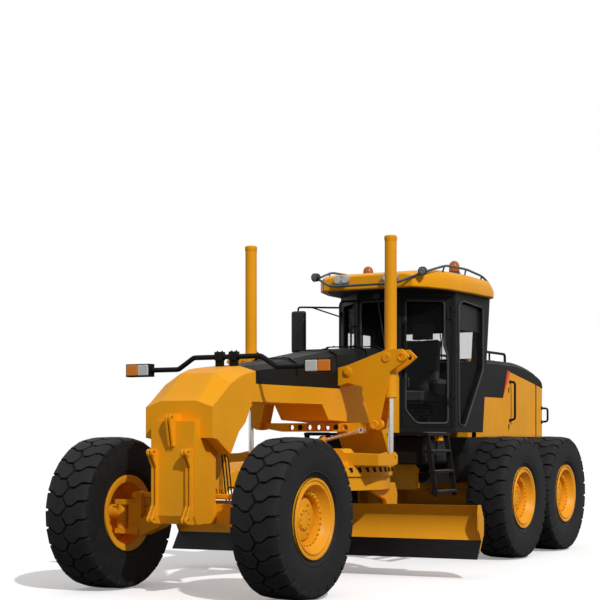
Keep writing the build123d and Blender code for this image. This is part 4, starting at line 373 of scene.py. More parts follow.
straps = Shape()
for strap_x, edge_z in STRAPS:
    ridge_z = edge_z + RIDGE_RISE
    inner = [(0.303, edge_z - STRAP_DROP), (0.303, edge_z), (0.2, ridge_z + 0.004)]
    outer = [(0.312, edge_z - STRAP_DROP), (0.312, edge_z + 0.006), (0.204, ridge_z + 0.016)]
    inner += [(-y, z) for y, z in reversed(inner)]
    outer += [(-y, z) for y, z in reversed(outer)]
    straps.cross_plate(inner + outer[::-1], strap_x - STRAP_HALF, strap_x + STRAP_HALF)
    for bolt_y in (-STRAP_BOLT_Y, STRAP_BOLT_Y):
        straps.nut((strap_x, bolt_y, ridge_z + 0.014), (0, 0, 1), 0.018, 0.01)
straps.piece("cowl_straps", "front_frame", black, "black_paint", bevel=0.002, segments=1)


# Light bar: a bent tube clamped to two posts on the cowl, with a moulded lamp at each end.
# Each lamp has a clear headlamp lens inside and an amber one outside, ribbed on the back.
coat(black, "light_bar")
SIDES = {"left": 1, "right": -1}
LIGHT_X = 3.2025
POST_Y, CLAMP_TOP = 0.085, 2.386
LENS_FACE, LENS_LOW, LENS_HIGH = LIGHT_X + 0.062, 2.164, 2.276
BEZEL_RIM = (0.926, 1.224, 2.153, 2.287)  # near, far, low, high
BEZEL_HOLE = (0.938, 1.212, 2.166, 2.274)


def lens(name, colour, glow=0.0, ribs=60.0):
    """A moulded lamp lens with fine ribs."""
    finish = Finish(name)
    wave = finish.node("ShaderNodeTexWave", bands_direction="Z")
    wave.inputs["Scale"].default_value = ribs
    finish.link(finish.place(), "Vector", wave, "Vector")
    tone = finish.ramp(wave, "Fac", [(0.0, shade(colour, 0.85)), (1.0, shade(colour, 1.05))])
    finish.link(tone, "Color", finish.shader, "Base Color")
    finish.fix("Roughness", 0.25)
    finish.fix("Specular IOR Level", 0.25)
    if glow:
        finish.fix("Emission Color", (*colour, 1))
        finish.fix("Emission Strength", glow)
    finish.bump(wave, "Fac", 0.15, 0.002)
    return finish.material


amber_lens = lens("amber_lens", (0.70, 0.19, 0.012), 0.05)
clear_lens = lens("clear_lens", (0.60, 0.60, 0.57))
for side, sign in SIDES.items():
    clamp = Shape()
    clamp.side_box(sign, (LIGHT_X - 0.034, POST_Y - 0.045, 2.30),
                   (LIGHT_X + 0.034, POST_Y + 0.045, CLAMP_TOP))
    for bolt_y in (-0.028, 0.028):
        clamp.nut((LIGHT_X, sign * POST_Y + bolt_y, CLAMP_TOP), (0, 0, 1), 0.016, 0.012)
    clamp.piece(f"light_clamp_{side}", "front_frame", black, "black_paint", bevel=0.006)
    for name, inner, outer, material, slot in (
            ("clear", 0.936, 1.072, clear_lens, "black_paint"),
            ("amber", 1.078, 1.214, amber_lens, "amber")):
        pad = Shape()
        pad.side_box(sign, (LENS_FACE - 0.022, inner, LENS_LOW), (LENS_FACE, outer, LENS_HIGH))
        pad.piece(f"lamp_{name}_{side}", "front_frame", material, slot, bevel=0.012, segments=3)
    bezel = Shape()
    rim_line, hole_line = (
        [(sign * near, low), (sign * far, low), (sign * far, high), (sign * near, high)]
        for near, far, low, high in (BEZEL_RIM, BEZEL_HOLE))
    for i in range(4):
        j = (i + 1) % 4
        bezel.cross_plate([rim_line[i], rim_line[j], hole_line[j], hole_line[i]],
                          LIGHT_X - 0.048, LIGHT_X + 0.05)
    bezel.piece(f"lamp_bezel_{side}", "front_frame", black, "black_paint", bevel=0.003)


# Front axle: a fabricated beam under the bolster. The wheels lean on pins at its ends and steer
# on kingpins; steel lines with crimped fittings feed the two steering cylinders on its back.
coat(yellow, "front_axle lean_bar lean_housing_left lean_housing_right knuckle_left knuckle_right "
             "steer_barrel_left steer_barrel_right")


def metal(name, colour, roughness, streaks=(1, 1, 1)):
    """Bare or plated metal, with streaks along its worn direction."""
    finish = Finish(name)
    grain = finish.noise(30.0, 6.0, stretch=streaks)
    tone = finish.ramp(grain, "Fac", [(0.3, shade(colour, 0.8)), (0.7, shade(colour, 1.1))])
    finish.link(tone, "Color", finish.shader, "Base Color")
    finish.fix("Metallic", 1.0)
    finish.gloss(grain, "Fac", roughness - 0.05, roughness + 0.12)
    finish.bump(grain, "Fac", 0.08, 0.001, 0.003)
    return finish.material


chrome = metal("chrome_rod", (0.78, 0.77, 0.73), 0.2, streaks=(3, 3, 0.2))
pin_steel = metal("pin_steel", (0.32, 0.31, 0.29), 0.45, streaks=(2, 2, 2))
coat(chrome, "steer_rod_left steer_rod_right")

LINE_X, LINE_Y, LINE_RADIUS = AXLE_X - 0.07, 0.27, 0.0075
LINES_OUT = (0.0, 0.035, 0.07)
LEAN_PIN_Y, LEAN_PIN_FACE = 0.7, 0.103
LEAN_PINS = ((0.6, 0.044), (0.95, 0.03))  # height, radius of the cap

lines, fittings = Shape(), Shape()
for out in LINES_OUT:
    lines.tube([(AXLE_X - 0.20, 0.10, 1.42), (AXLE_X - 0.16, 0.16 + out, 1.36),
                (AXLE_X - 0.14, 0.20 + out, 1.14), (AXLE_X - 0.10, 0.24 + out, 1.0),
                (LINE_X, LINE_Y + out, 0.95), (LINE_X, LINE_Y + out, 0.895)], LINE_RADIUS, 8, 0.08)
    fittings.nut((LINE_X, LINE_Y + out, 0.878), (0, 0, 1), 0.016, 0.03)
lines.mirrored()
lines.piece("axle_lines", "front_frame", black, "black_paint")
fittings.mirrored()
fittings.piece("axle_fittings", "front_frame", pin_steel, "steel", bevel=0.001, segments=1)

for side, sign in SIDES.items():
    caps = Shape()
    for face in (-1, 1):
        for pin_z, radius in LEAN_PINS:
            caps.turned([(0, 0.0), (0, radius), (0.004, radius), (0.006, radius * 0.8),
                         (0.006, 0.0)],
                        (AXLE_X + face * LEAN_PIN_FACE, sign * LEAN_PIN_Y, pin_z), (face, 0, 0), 24)
    caps.piece(f"lean_pin_caps_{side}", f"lean_{side}", yellow, "yellow_paint")


# Saddle: two pairs of swing arms on the goose-neck, joined below by the drilled link bar.
# The lift cylinders hang in trunnions between the arms; their rods are hard chromed.
coat(yellow, "swing_arms link_bar lift_barrels")
coat(chrome, "lift_rod_left lift_rod_right")
SADDLE_X = 1.3025
LIFT_Y = 0.895
BARREL_RADIUS, BARREL_TOP = 0.0665, 3.722
LOW_PORT_Z, HIGH_PORT_Z = 2.05, 2.53
LIFT_LINE_RADIUS, LIFT_LINE_END = 0.011, 0.31  # the lines end on the beam's side
ARM_FACE = 0.106
TRUNNION_Z, PIVOT_Y, PIVOT_Z = 2.39, 0.42, 2.24
ARM_PINS = (
    # Y, Z, radius of the boss, bore
    (1.08, TRUNNION_Z, 0.052, 0.031), (0.75, 1.66, 0.05, 0.024), (PIVOT_Y, PIVOT_Z, 0.058, 0.024),
)
LINK_Z, LINK_PITCH, LINK_HALF = 1.633, 0.115, 0.02
LINK_HOLES, LOCKED_HOLES = (-3, -2, -1, 0, 1, 2, 3), (-2, 2)

for side, sign in SIDES.items():
    cylinder = Shape()
    spot = (SADDLE_X, sign * LIFT_Y, 0)
    cylinder.turned([(1.948, 0.032), (1.948, 0.058), (1.956, 0.070), (2.0, 0.070),
                     (2.004, BARREL_RADIUS), (2.03, BARREL_RADIUS)], spot, (0, 0, 1), 40)
    cylinder.turned([(3.66, BARREL_RADIUS), (3.675, 0.0705), (3.71, 0.0705), (BARREL_TOP, 0.058),
                     (BARREL_TOP, 0)], spot, (0, 0, 1), 40)
    for ring_z in (2.352, 2.428):
        cylinder.ring((SADDLE_X, sign * LIFT_Y, ring_z), (0, 0, 1), 0.066, 0.084, 0.012, steps=40)
    cylinder.piece(f"lift_caps_{side}", "front_frame", yellow, "yellow_paint")
    ports = Shape()
    for port_z in (LOW_PORT_Z, HIGH_PORT_Z):
        ports.rod((SADDLE_X - 0.05, sign * LIFT_Y, port_z),
                  (SADDLE_X - 0.098, sign * LIFT_Y, port_z), 0.02)
    for route in (((0.09, LIFT_Y, LOW_PORT_Z), (0.112, LIFT_Y, 2.10), (0.112, LIFT_Y - 0.05, 2.26),
                   (0.16, LIFT_Y - 0.16, 2.34), (0.16, LIFT_LINE_END, 2.26)),
                  ((0.09, LIFT_Y, HIGH_PORT_Z), (0.13, LIFT_Y, 2.50), (0.19, LIFT_Y - 0.16, 2.40),
                   (0.19, LIFT_LINE_END, 2.27))):
        ports.tube([(SADDLE_X - behind, sign * y, z) for behind, y, z in route],
                   LIFT_LINE_RADIUS, 8, 0.05)
    ports.piece(f"lift_lines_{side}", "front_frame", black, "black_paint")
    tips = Shape()
    for face in (-1, 1):
        for pin_y, pin_z, radius, bore in ARM_PINS:
            tips.turned([(0, bore), (0, radius), (0.008, radius), (0.012, radius - 0.005),
                         (0.012, bore)], (SADDLE_X + face * ARM_FACE, sign * pin_y, pin_z),
                        (face, 0, 0), 30, closed=True)
        for pin_y, pin_z in ((PIVOT_Y, PIVOT_Z), (LIFT_Y, TRUNNION_Z)):
            tips.nut((SADDLE_X + face * (ARM_FACE + 0.013), sign * (pin_y + 0.026), pin_z + 0.012),
                     (face, 0, 0), 0.016, 0.01)
    tips.piece(f"arm_bosses_{side}", "front_frame", yellow, "yellow_paint")

link_rings = Shape()
for hole in LINK_HOLES:
    for face in (-1, 1):
        link_rings.ring((SADDLE_X + face * LINK_HALF, hole * LINK_PITCH, LINK_Z), (face, 0, 0),
                        0.0325, 0.044, 0.004, slope=0.001)
link_rings.piece("link_hole_rings", "front_frame", yellow, "yellow_paint")
lock = Shape()
for hole in LOCKED_HOLES:
    lock.turned([(0, 0), (0, 0.031), (0.012, 0.031), (0.012, 0.0)],
                (SADDLE_X + 0.012, hole * LINK_PITCH, LINK_Z), (1, 0, 0), 24)
lock.piece("link_lock_pins", "front_frame", black, "black_paint")


# Drawbar and circle: the A frame pulls the ring gear that turns the blade. The gear's teeth face
# inward, clamp shoes hold its flange, and a gearbox on the cross plate turns it.
coat(yellow, "drawbar shift_barrel circle blade_carrier")
coat(chrome, "shift_rod blade_shift_rod")
CIRCLE_X = 1.2525
SHOE_RADIUS, SHOE_TOP = 0.70, 1.265
SHOE_ANGLES, SHOE_BOLT_SPREAD = (35, 145, 215, 325), 0.045
DRIVE_X = AXLE_X - 1.81
TEETH, ROOT_RADIUS, TOOTH_BOTTOM, TOOTH_HEIGHT, TOOTH_REACH = 64, 0.642, 1.115, 0.07, 0.030
# The ring of black pads round the circle's rim is painted shade for its pockets.
SHADED_POCKETS, PAD_RADIUS, PAD_Z = 48, 0.797, 1.172


def round_circle(count):
    """Outward and lengthwise directions, at even steps round the circle."""
    for step in range(count):
        angle = 2 * math.pi * step / count
        yield (Vector((math.cos(angle), math.sin(angle), 0)),
               Vector((-math.sin(angle), math.cos(angle), 0)))


drive = Shape()
for angle in SHOE_ANGLES:
    for step in (-1, 1):
        turn = math.radians(angle) + step * SHOE_BOLT_SPREAD
        drive.nut((CIRCLE_X + SHOE_RADIUS * math.cos(turn), SHOE_RADIUS * math.sin(turn), SHOE_TOP),
                  (0, 0, 1), 0.03, 0.016)
drive.turned([(1.45, 0.0), (1.45, 0.088), (1.462, 0.082), (1.47, 0.05), (1.50, 0.05), (1.505, 0.04),
              (1.505, 0.0)], (DRIVE_X, 0, 0), (0, 0, 1), 32)
drive.bolt_circle((DRIVE_X, 0, 1.458), (0, 0, 1), 8, 0.07, 0.014, 0.01)
drive.piece("circle_drive_bolts", "drawbar", yellow, "yellow_paint")

teeth = Shape()
for out, along in round_circle(TEETH):
    root = Vector((CIRCLE_X, 0, TOOTH_BOTTOM)) + out * ROOT_RADIUS
    tip = root - out * TOOTH_REACH
    teeth.prism([root - along * 0.024, root + along * 0.024, tip + along * 0.011,
                 tip - along * 0.011], (0, 0, TOOTH_HEIGHT))
teeth.piece("circle_teeth", "circle", yellow, "yellow_paint", bevel=0.003, segments=1)

# Black square pads, each with a bolt head, round the circle's rim: painted shade, dark blocks that
# stand for the shaded pockets there.
pocket_shade = Shape()
for out, along in round_circle(SHADED_POCKETS):
    root = Vector((CIRCLE_X, 0, PAD_Z)) + out * PAD_RADIUS
    pocket_shade.prism([root - along * 0.02, root + along * 0.02, root + along * 0.02 + out * 0.009,
                      root - along * 0.02 + out * 0.009], (0, 0, 0.026))
    pocket_shade.nut(root + Vector((0, 0, -0.012)) + along * 0.012, out, 0.024, 0.016)
pocket_shade.piece("circle_wear_bolts", "circle", black, "black_paint")

shift_fit = Shape()
foot, head = Vector((1.4025, -0.62, 1.3155)), Vector((1.4025, 0.59, 1.60))
way = (head - foot).normalized()
shift_fit.turned([(0.738, 0.026), (0.738, 0.0395), (0.745, 0.0405), (0.775, 0.0405),
                  (0.782, 0.036), (0.782, 0.026)], foot, way, 28, closed=True)
for port in (0.32, 0.66):
    spot = foot + way * port
    shift_fit.rod(spot, spot + Vector((0.055, 0, 0)), 0.013)
shift_fit.piece("shift_cylinder_gland", "shift_barrel", yellow, "yellow_paint")


# Blade: a rolled moldboard on two slide rails, with a hardened cutting edge and end bits bolted
# along its foot. Soil keeps the edge dark and polished.
edge_steel = metal("cutting_edge_steel", (0.018, 0.018, 0.019), 0.5, streaks=(1, 0.15, 3))
coat(yellow, "moldboard")
coat(edge_steel, "cutting_edge")
BLADE_TURN = Matrix.Rotation(math.radians(5.8), 3, "Z")
EDGE_BOLT_ROWS, EDGE_BOLT_PITCH = (0.256, 0.292), 0.125
EDGE_HALF = 0.010
edge_low, edge_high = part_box("cutting_edge")
edge_mid = (Vector(edge_low) + Vector(edge_high)) / 2
along = BLADE_TURN @ Vector((0, 1, 0))
ahead = BLADE_TURN @ Vector((1, 0, 0))

bolts = Shape()
for row_z in EDGE_BOLT_ROWS:
    for count in range(-14, 15):
        spot = (Vector((edge_mid.x, edge_mid.y, row_z)) + along * count * EDGE_BOLT_PITCH
                + ahead * EDGE_HALF)
        bolts.rod(spot, spot + ahead * 0.006, 0.011, 12)
bolts.piece("edge_bolts", "blade", edge_steel, "steel")


# Tyres: bias-ply grader tyres, a crowned carcass with two staggered rows of S-shaped blocks.
# The rubber is dull black, with dust in the pores and scuffs on the lugs.
TYRE_RADIUS = 0.765
WHEEL_Y = 1.07
AXLES = {"front": AXLE_X, "middle": -1.6485, "rear": -3.1905}
TREAD_PITCHES = 26
TREAD_DEPTH = 0.03
TREAD_GROOVE = 0.026
TREAD_BLOCK = [
    # across from the tread's middle, radius lost, lengthwise shift, share of the full length
    (-0.012, 0.0, 0.0, 0.10), (0.040, 0.0, 0.0, 1.0), (0.100, 0.001, 0.0, 1.0),
    (0.165, 0.005, -0.052, 1.0), (0.222, 0.014, -0.055, 1.0), (0.246, 0.034, -0.055, 0.96),
    (0.251, 0.068, -0.055, 0.84),
]
CARCASS = [
    # across from the tread's middle, radius
    (0.0, 0.737), (0.13, 0.733), (0.214, 0.722), (0.236, 0.706), (0.243, 0.682), (0.2425, 0.676),
    (0.2475, 0.668), (0.2475, 0.655), (0.2485, 0.60), (0.247, 0.54), (0.242, 0.475), (0.235, 0.452),
    (0.2375, 0.447), (0.2375, 0.438), (0.230, 0.432), (0.216, 0.408), (0.207, 0.386), (0.19, 0.345),
]

rubber = Finish("tyre_rubber")
scuff = rubber.noise(9.0, 8.0, 0.65)
worn = rubber.ramp(scuff, "Fac", [(0.35, (0.008, 0.008, 0.0085)), (0.75, (0.017, 0.017, 0.0175))])
rubber.link(worn, "Color", rubber.shader, "Base Color")
rubber.fix("Specular IOR Level", 0.2)
rubber.gloss(scuff, "Fac", 0.55, 0.85)
rubber.bump(rubber.noise(220.0, 3.0), "Fac", 0.12, 0.002, 0.005)
tyre_rubber = rubber.material


def tread_point(across, along_tread, radius, middle, sign):
    """A point on the tyre, from its place across, along and out from the axle."""
    angle = along_tread / TYRE_RADIUS
    return (middle[0] + radius * math.sin(angle), middle[1] + sign * across,
            middle[2] + radius * math.cos(angle))


def tyre(place, side):
    """One tyre; the tread points the same way on both sides of the machine."""
    sign = SIDES[side]
    middle = (AXLES[place], sign * WHEEL_Y, TYRE_RADIUS)
    shape = Shape()
    profile = [(sign * across, radius) for across, radius in CARCASS]
    profile = [(-across, radius) for across, radius in reversed(profile)] + profile[1:]
    shape.turned(profile, middle, (0, 1, 0), steps=104)
    pitch = 2 * math.pi * TYRE_RADIUS / TREAD_PITCHES
    half_length = (pitch - TREAD_GROOVE) / 2
    wide = len(TREAD_BLOCK)
    edge = list(range(wide)) + list(range(2 * wide - 1, wide - 1, -1))
    faces = [(i, i + 1, wide + i + 1, wide + i) for i in range(wide - 1)]
    faces += [(a, a + 2 * wide, b + 2 * wide, b) for a, b in zip(edge, edge[1:] + edge[:1])]
    for row in (1, -1):
        for count in range(TREAD_PITCHES):
            start = (count + (0.5 if row < 0 else 0)) * pitch
            top, root = [], []
            for end in (1, -1):
                for across, loss, shift, share in TREAD_BLOCK:
                    here = start + shift + end * half_length * share
                    top.append(tread_point(row * across, here, TYRE_RADIUS - loss, middle, sign))
                    flare = start + shift + end * (half_length * share + 0.004)
                    root.append(tread_point(row * across * 0.98, flare,
                                            TYRE_RADIUS - loss - TREAD_DEPTH, middle, sign))
            shape.add(top + root, faces)
    shape.piece(f"tread_{place}_{side}", f"wheel_{place}_{side}", tyre_rubber, "tyre", bevel=0.003,
                segments=1, replaces=f"tyre_{place}_{side}")


# Rims: rolled steel in three pieces, with a deep dish whose ledge carries a ring of studs.
# They are sprayed with the machine's yellow before the tyres go on.
RIM_PROFILE = [
    # outward from the flange's face, radius
    (0, 0.382), (0, 0.36), (-0.012, 0.352), (-0.012, 0.34), (0, 0.334), (-0.002, 0.318),
    (-0.03, 0.302), (-0.04, 0.298), (-0.085, 0.262), (-0.088, 0.23), (-0.16, 0.222),
    (-0.16, 0.206), (-0.13, 0.2), (-0.127, 0.195), (-0.127, 0.112), (-0.112, 0.106),
    (-0.108, 0.06), (-0.108, 0), (-0.2, 0), (-0.215, 0.302), (-0.44, 0.312), (-0.455, 0.36),
    (-0.455, 0.382), (-0.43, 0.382), (-0.425, 0.335), (-0.04, 0.335), (-0.028, 0.386),
    (-0.008, 0.386),
]
RIM_BOLTS = (
    # how many, radius of their ring, depth behind the flange, across the flats, height
    (28, 0.246, 0.087, 0.015, 0.018), (10, 0.085, 0.108, 0.017, 0.012),
    (3, 0.155, 0.127, 0.024, 0.016),
)
VALVE_RADIUS, VALVE_DEPTH = 0.29, 0.05
rim_paint = paint("rim_paint", (0.92, 0.385, 0.008), 0.4, 0.2, 0.2, edge=0.003)


def rim(place, side):
    """One rim with its studs, hub bolts and valve."""
    sign = SIDES[side]
    low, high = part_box(f"rim_{place}_{side}")
    outer = high[1] if sign > 0 else low[1]
    middle = Vector((AXLES[place], outer, TYRE_RADIUS))
    shape = Shape()
    shape.turned(RIM_PROFILE, middle, (0, sign, 0), steps=72)
    for count, radius, depth, across, height in RIM_BOLTS:
        spot = middle - Vector((0, sign * depth, 0))
        shape.bolt_circle(spot, (0, sign, 0), count, radius, across, height)
    spot = middle + Vector((VALVE_RADIUS, -sign * VALVE_DEPTH, 0))
    shape.rod(spot, spot + Vector((-0.02, sign * VALVE_DEPTH, 0)), 0.005, 8)
    shape.piece(f"rim_shell_{place}_{side}", f"wheel_{place}_{side}", rim_paint, "yellow_paint",
                replaces=f"rim_{place}_{side}", sharp=32)


for place in AXLES:
    for side in SIDES:
        tyre(place, side)
        rim(place, side)


# Rear frame: box members between the tandem cases, with a thick rear plate for a tow hitch.
# Frame and plate are black, the tandem cases and their cross tube yellow; red lamps close the end.
coat(black, "rear_frame rear_bumper engine_block")
coat(yellow, "tandem_axle")
TANDEM_X = -2.4195
CASE_FACE, COVER_THICK = 0.785, 0.010
COVER_X, COVER_Z = 0.28, 0.79
REAR_X = -4.4675
TAIL_NEAR, TAIL_FAR, TAIL_LOW, TAIL_HIGH = 0.36, 0.54, 1.435, 1.495
HITCH_BOLTS_Y, HITCH_BOLTS_Z = (-0.3, 0.3), (1.14, 1.39)

cases = Shape()
for place in ("rear", "middle"):
    cases.bolt_circle((AXLES[place], CASE_FACE, TYRE_RADIUS), (0, 1, 0), 10, 0.215, 0.02, 0.014)
for cover_x in (TANDEM_X - COVER_X, TANDEM_X + COVER_X):
    cases.turned([(0, 0.0), (0, 0.11), (COVER_THICK, 0.106), (COVER_THICK, 0.0)],
                 (cover_x, CASE_FACE, COVER_Z), (0, 1, 0), 32)
    cases.bolt_circle((cover_x, CASE_FACE + COVER_THICK, COVER_Z), (0, 1, 0), 8, 0.092, 0.014,
                      0.009)
cases.mirrored()
cases.piece("case_covers", "rear_frame", yellow, "yellow_paint", bevel=0.0015, segments=1)

red_lens = lens("red_lens", (0.5, 0.02, 0.012), 0.1)
for side, sign in SIDES.items():
    housing = Shape()
    housing.side_box(sign, (REAR_X - 0.012, TAIL_NEAR - 0.01, TAIL_LOW - 0.01),
                     (REAR_X + 0.01, TAIL_FAR + 0.01, TAIL_HIGH + 0.01))
    housing.piece(f"tail_housing_{side}", "rear_frame", black, "black_paint", bevel=0.006)
    pad = Shape()
    pad.side_box(sign, (REAR_X - 0.024, TAIL_NEAR, TAIL_LOW), (REAR_X - 0.008, TAIL_FAR, TAIL_HIGH))
    pad.piece(f"tail_lens_{side}", "rear_frame", red_lens, "amber", bevel=0.007, segments=3)

pads = Shape()
for bolt_y in HITCH_BOLTS_Y:
    for bolt_z in HITCH_BOLTS_Z:
        pads.ring((REAR_X, bolt_y, bolt_z), (-1, 0, 0), 0.0135, 0.032, 0.006, slope=0.002)
pads.piece("hitch_pads", "rear_frame", black, "black_paint")


# Engine hood: yellow side doors hung under a black moulded cover that falls to the rear.
# A red diagonal marks the cover's front corner; the grille behind has black slats. Rails of bent
# tube are bolted along the top, and grips on the sides.
coat(yellow, "engine_hood")
HOOD_HALF, HOOD_FACE, COVER_TOP, NOSE_HALF = 0.52, 0.5275, 2.546, 0.404
HOOD_FRONT, HOOD_SHOULDER, HOOD_REAR = -1.9535, -2.0775, -4.366
HOOD_TOP = [
    # X, height of the cover's top
    (HOOD_SHOULDER, COVER_TOP), (-3.2975, COVER_TOP), (-3.50, 2.532), (-3.7215, 2.508),
    (-3.95, 2.472), (-4.1455, 2.43), (-4.27, 2.39), (-4.342, 2.345), (HOOD_REAR, 2.29),
]
SKIRT_Z, SKIRT_END = 2.05, -2.858
STRIPE_FOOT = (-3.115, 2.412)
HOOD_LINE = [
    # X, height of the cover's lower edge on each side, from the stripe to the rear
    STRIPE_FOOT, (-3.91, 2.294), (-4.197, 2.251), (HOOD_REAR, 2.217),
]
STRIPE = [(-3.015, 2.427), STRIPE_FOOT, (SKIRT_END, 2.055)]
VENTS, VENT_PITCH, VENT_START, VENT_HALF = 9, 0.062, -2.36, 0.13


def hood_section(x, top, half, out):
    """Outline across the cover at a place along the hood."""
    side, edge = half + out, 0.06
    return [(x, side, top - edge), (x, half - edge, top + out - 0.006),
            (x, edge - half, top + out - 0.006), (x, -side, top - edge),
            (x, -side + 0.02, top - edge - 0.012), (x, edge - half, top - 0.03),
            (x, half - edge, top - 0.03), (x, side - 0.02, top - edge - 0.012)]


cover = Shape()
cover.lofted([hood_section(HOOD_FRONT, COVER_TOP, 0.40, 0.004)]
             + [hood_section(x, top, HOOD_HALF, 0.007) for x, top in HOOD_TOP])
for face in (1, -1):
    skirt = [(HOOD_SHOULDER, SKIRT_Z), (SKIRT_END, SKIRT_Z), STRIPE[0]] + HOOD_LINE
    upper = [(x, top - 0.055) for x, top in HOOD_TOP[::-1]]
    cover.side_plate(skirt + upper, face * 0.512, face * HOOD_FACE)
    front = [(HOOD_SHOULDER, face * HOOD_FACE), (HOOD_FRONT, face * NOSE_HALF),
             (HOOD_FRONT, face * 0.39), (HOOD_SHOULDER, face * 0.51)]
    cover.prism([(x, y, SKIRT_Z) for x, y in front], (0, 0, 2.49 - SKIRT_Z))
cover.cross_plate([(-NOSE_HALF, SKIRT_Z), (NOSE_HALF, SKIRT_Z), (NOSE_HALF, 2.5),
                   (-NOSE_HALF, 2.5)], HOOD_FRONT - 0.0045, HOOD_FRONT + 0.002)
cover.piece("hood_cover", "rear_frame", black, "black_paint", bevel=0.006, sharp=30)

vents = Shape()
for count in range(VENTS):
    foot_x = VENT_START - count * VENT_PITCH
    lip_x, lip_z = foot_x - 0.006, COVER_TOP + 0.018
    for vent_y in (-0.19, 0.19):
        near, far = vent_y - VENT_HALF, vent_y + VENT_HALF
        vents.prism([(foot_x, near, COVER_TOP), (foot_x, far, COVER_TOP), (lip_x, far, lip_z),
                     (lip_x, near, lip_z)], (-0.036, 0, -0.002))
vents.turned([(2.54, 0.0), (2.54, 0.062), (2.566, 0.062), (2.572, 0.055), (2.572, 0.0)],
             (-3.10, 0.24, 0), (0, 0, 1), 32)
vents.piece("hood_vents", "rear_frame", black, "black_paint", bevel=0.002, segments=1)

stripe_paint = paint("stripe_paint", (0.80, 0.062, 0.012), 0.4, 0.12, 0.0)
for side, sign in SIDES.items():
    mark = Shape()
    mark.side_plate(STRIPE, sign * 0.519, sign * 0.529)
    mark.piece(f"hood_stripe_{side}", "rear_frame", stripe_paint, "yellow_paint", bevel=0.0015)


COVER_LINE = [(-1.9, SKIRT_Z), (SKIRT_END, SKIRT_Z)] + HOOD_LINE
DOORS = [(-2.085, -3.055), (-3.067, -3.940), (-3.954, -4.084), (-4.128, -4.352)]
DOOR_FOOT, DOOR_GAP = 1.532, 0.004
HINGES_X, HINGES_Z, HINGE_HALF = (-3.061, -2.098), (1.66, 2.16), 0.035


def line_height(x):
    """Height of the cover's lower edge above a place along the doors."""
    for (x_from, z_from), (x_to, z_to) in zip(COVER_LINE, COVER_LINE[1:]):
        if x_to <= x <= x_from:
            return z_from + (z_to - z_from) * (x_from - x) / (x_from - x_to)
    return COVER_LINE[-1][1]


for side, sign in SIDES.items():
    doors = Shape()
    for start, end in DOORS:
        tops = [start] + [x for x, _ in COVER_LINE if end < x < start] + [end]
        outline = [(start, DOOR_FOOT), (end, DOOR_FOOT)]
        outline += [(x, line_height(x) - DOOR_GAP) for x in reversed(tops)]
        doors.side_plate(outline, sign * 0.515, sign * 0.5255)
    doors.piece(f"hood_doors_{side}", "rear_frame", yellow, "yellow_paint", bevel=0.003)
    trim = Shape()
    trim.side_plate([(-4.088, 1.53), (-4.124, 1.53), (-4.124, 2.262), (-4.088, 2.268)], sign * 0.51,
                    sign * 0.5235)
    for hinge_z in HINGES_Z:
        for hinge_x in HINGES_X:
            middle_z = min(hinge_z, line_height(hinge_x) - 0.1)
            trim.rod((hinge_x, sign * HOOD_FACE, middle_z - HINGE_HALF),
                     (hinge_x, sign * HOOD_FACE, middle_z + HINGE_HALF), 0.0085, 10)
    trim.piece(f"hood_trim_{side}", "rear_frame", black, "black_paint", bevel=0.002, segments=1)

GRILLE_LOW, GRILLE_HIGH, GRILLE_BACK, GRILLE_FRONT = 1.56, 2.235, -4.378, -4.350
SLATS, SLAT_START, SLAT_PITCH, SLAT_HALF = 7, 1.622, 0.09, 0.405
BAR_PLACES, BAR_HALF = (-0.42, -0.2, 0.0, 0.2, 0.42), 0.012

slats = Shape()
for count in range(SLATS):
    slat_z = SLAT_START + count * SLAT_PITCH
    inner_z, outer_z = slat_z - 0.032, slat_z - 0.014
    slats.prism([(-4.357, -SLAT_HALF, inner_z), (-4.357, SLAT_HALF, inner_z),
                 (-4.375, SLAT_HALF, outer_z), (-4.375, -SLAT_HALF, outer_z)], (0, 0, 0.036))
for bar_y in BAR_PLACES:
    slats.box((GRILLE_BACK, bar_y - BAR_HALF, GRILLE_LOW),
              (GRILLE_FRONT, bar_y + BAR_HALF, GRILLE_HIGH))
for bar_z in (GRILLE_LOW, GRILLE_HIGH):
    slats.box((GRILLE_BACK, -0.432, bar_z - BAR_HALF), (GRILLE_FRONT, 0.432, bar_z + BAR_HALF))
slats.piece("grille_slats", "rear_frame", black, "black_paint", bevel=0.003, segments=1)

RAIL_Y, RAIL_FOOT, RAIL_FRONT, RAIL_REAR = 0.43, 2.53, -2.06, -3.16
GRIP_X, GRIP_TOP, GRIP_BOTTOM, GRIP_OUT = -3.106, 2.273, 1.745, 0.60
TAIL_GRIP_X, TAIL_GRIP_TOP, TAIL_GRIP_BOTTOM = -4.375, 1.935, 1.735

grips = Shape()
for sign in SIDES.values():
    rail_y, out = sign * RAIL_Y, sign * GRIP_OUT
    grips.tube([(RAIL_FRONT, rail_y, RAIL_FOOT), (RAIL_FRONT, rail_y, 2.66),
                (RAIL_REAR, rail_y, 2.655), (RAIL_REAR, rail_y, RAIL_FOOT)], 0.018, 12, 0.05)
    grips.tube([(-2.61, rail_y, 2.657), (-2.61, rail_y, RAIL_FOOT)], 0.013, 10)
    grips.tube([(GRIP_X, sign * 0.515, GRIP_TOP), (GRIP_X, out, GRIP_TOP - 0.005),
                (GRIP_X, out, GRIP_BOTTOM + 0.02), (GRIP_X, sign * 0.515, GRIP_BOTTOM)],
               0.016, 10, 0.035)
    grips.tube([(TAIL_GRIP_X, sign * 0.50, TAIL_GRIP_TOP),
                (TAIL_GRIP_X, out, TAIL_GRIP_TOP - 0.005),
                (TAIL_GRIP_X, out, TAIL_GRIP_BOTTOM + 0.01),
                (TAIL_GRIP_X, sign * 0.50, TAIL_GRIP_BOTTOM)], 0.015, 10, 0.035)
    for foot_x, foot_z in ((GRIP_X, GRIP_TOP), (GRIP_X, GRIP_BOTTOM), (-4.33, TAIL_GRIP_TOP),
                           (-4.33, TAIL_GRIP_BOTTOM)):
        grips.rod((foot_x, sign * 0.515, foot_z), (foot_x, sign * 0.532, foot_z), 0.028, 14)
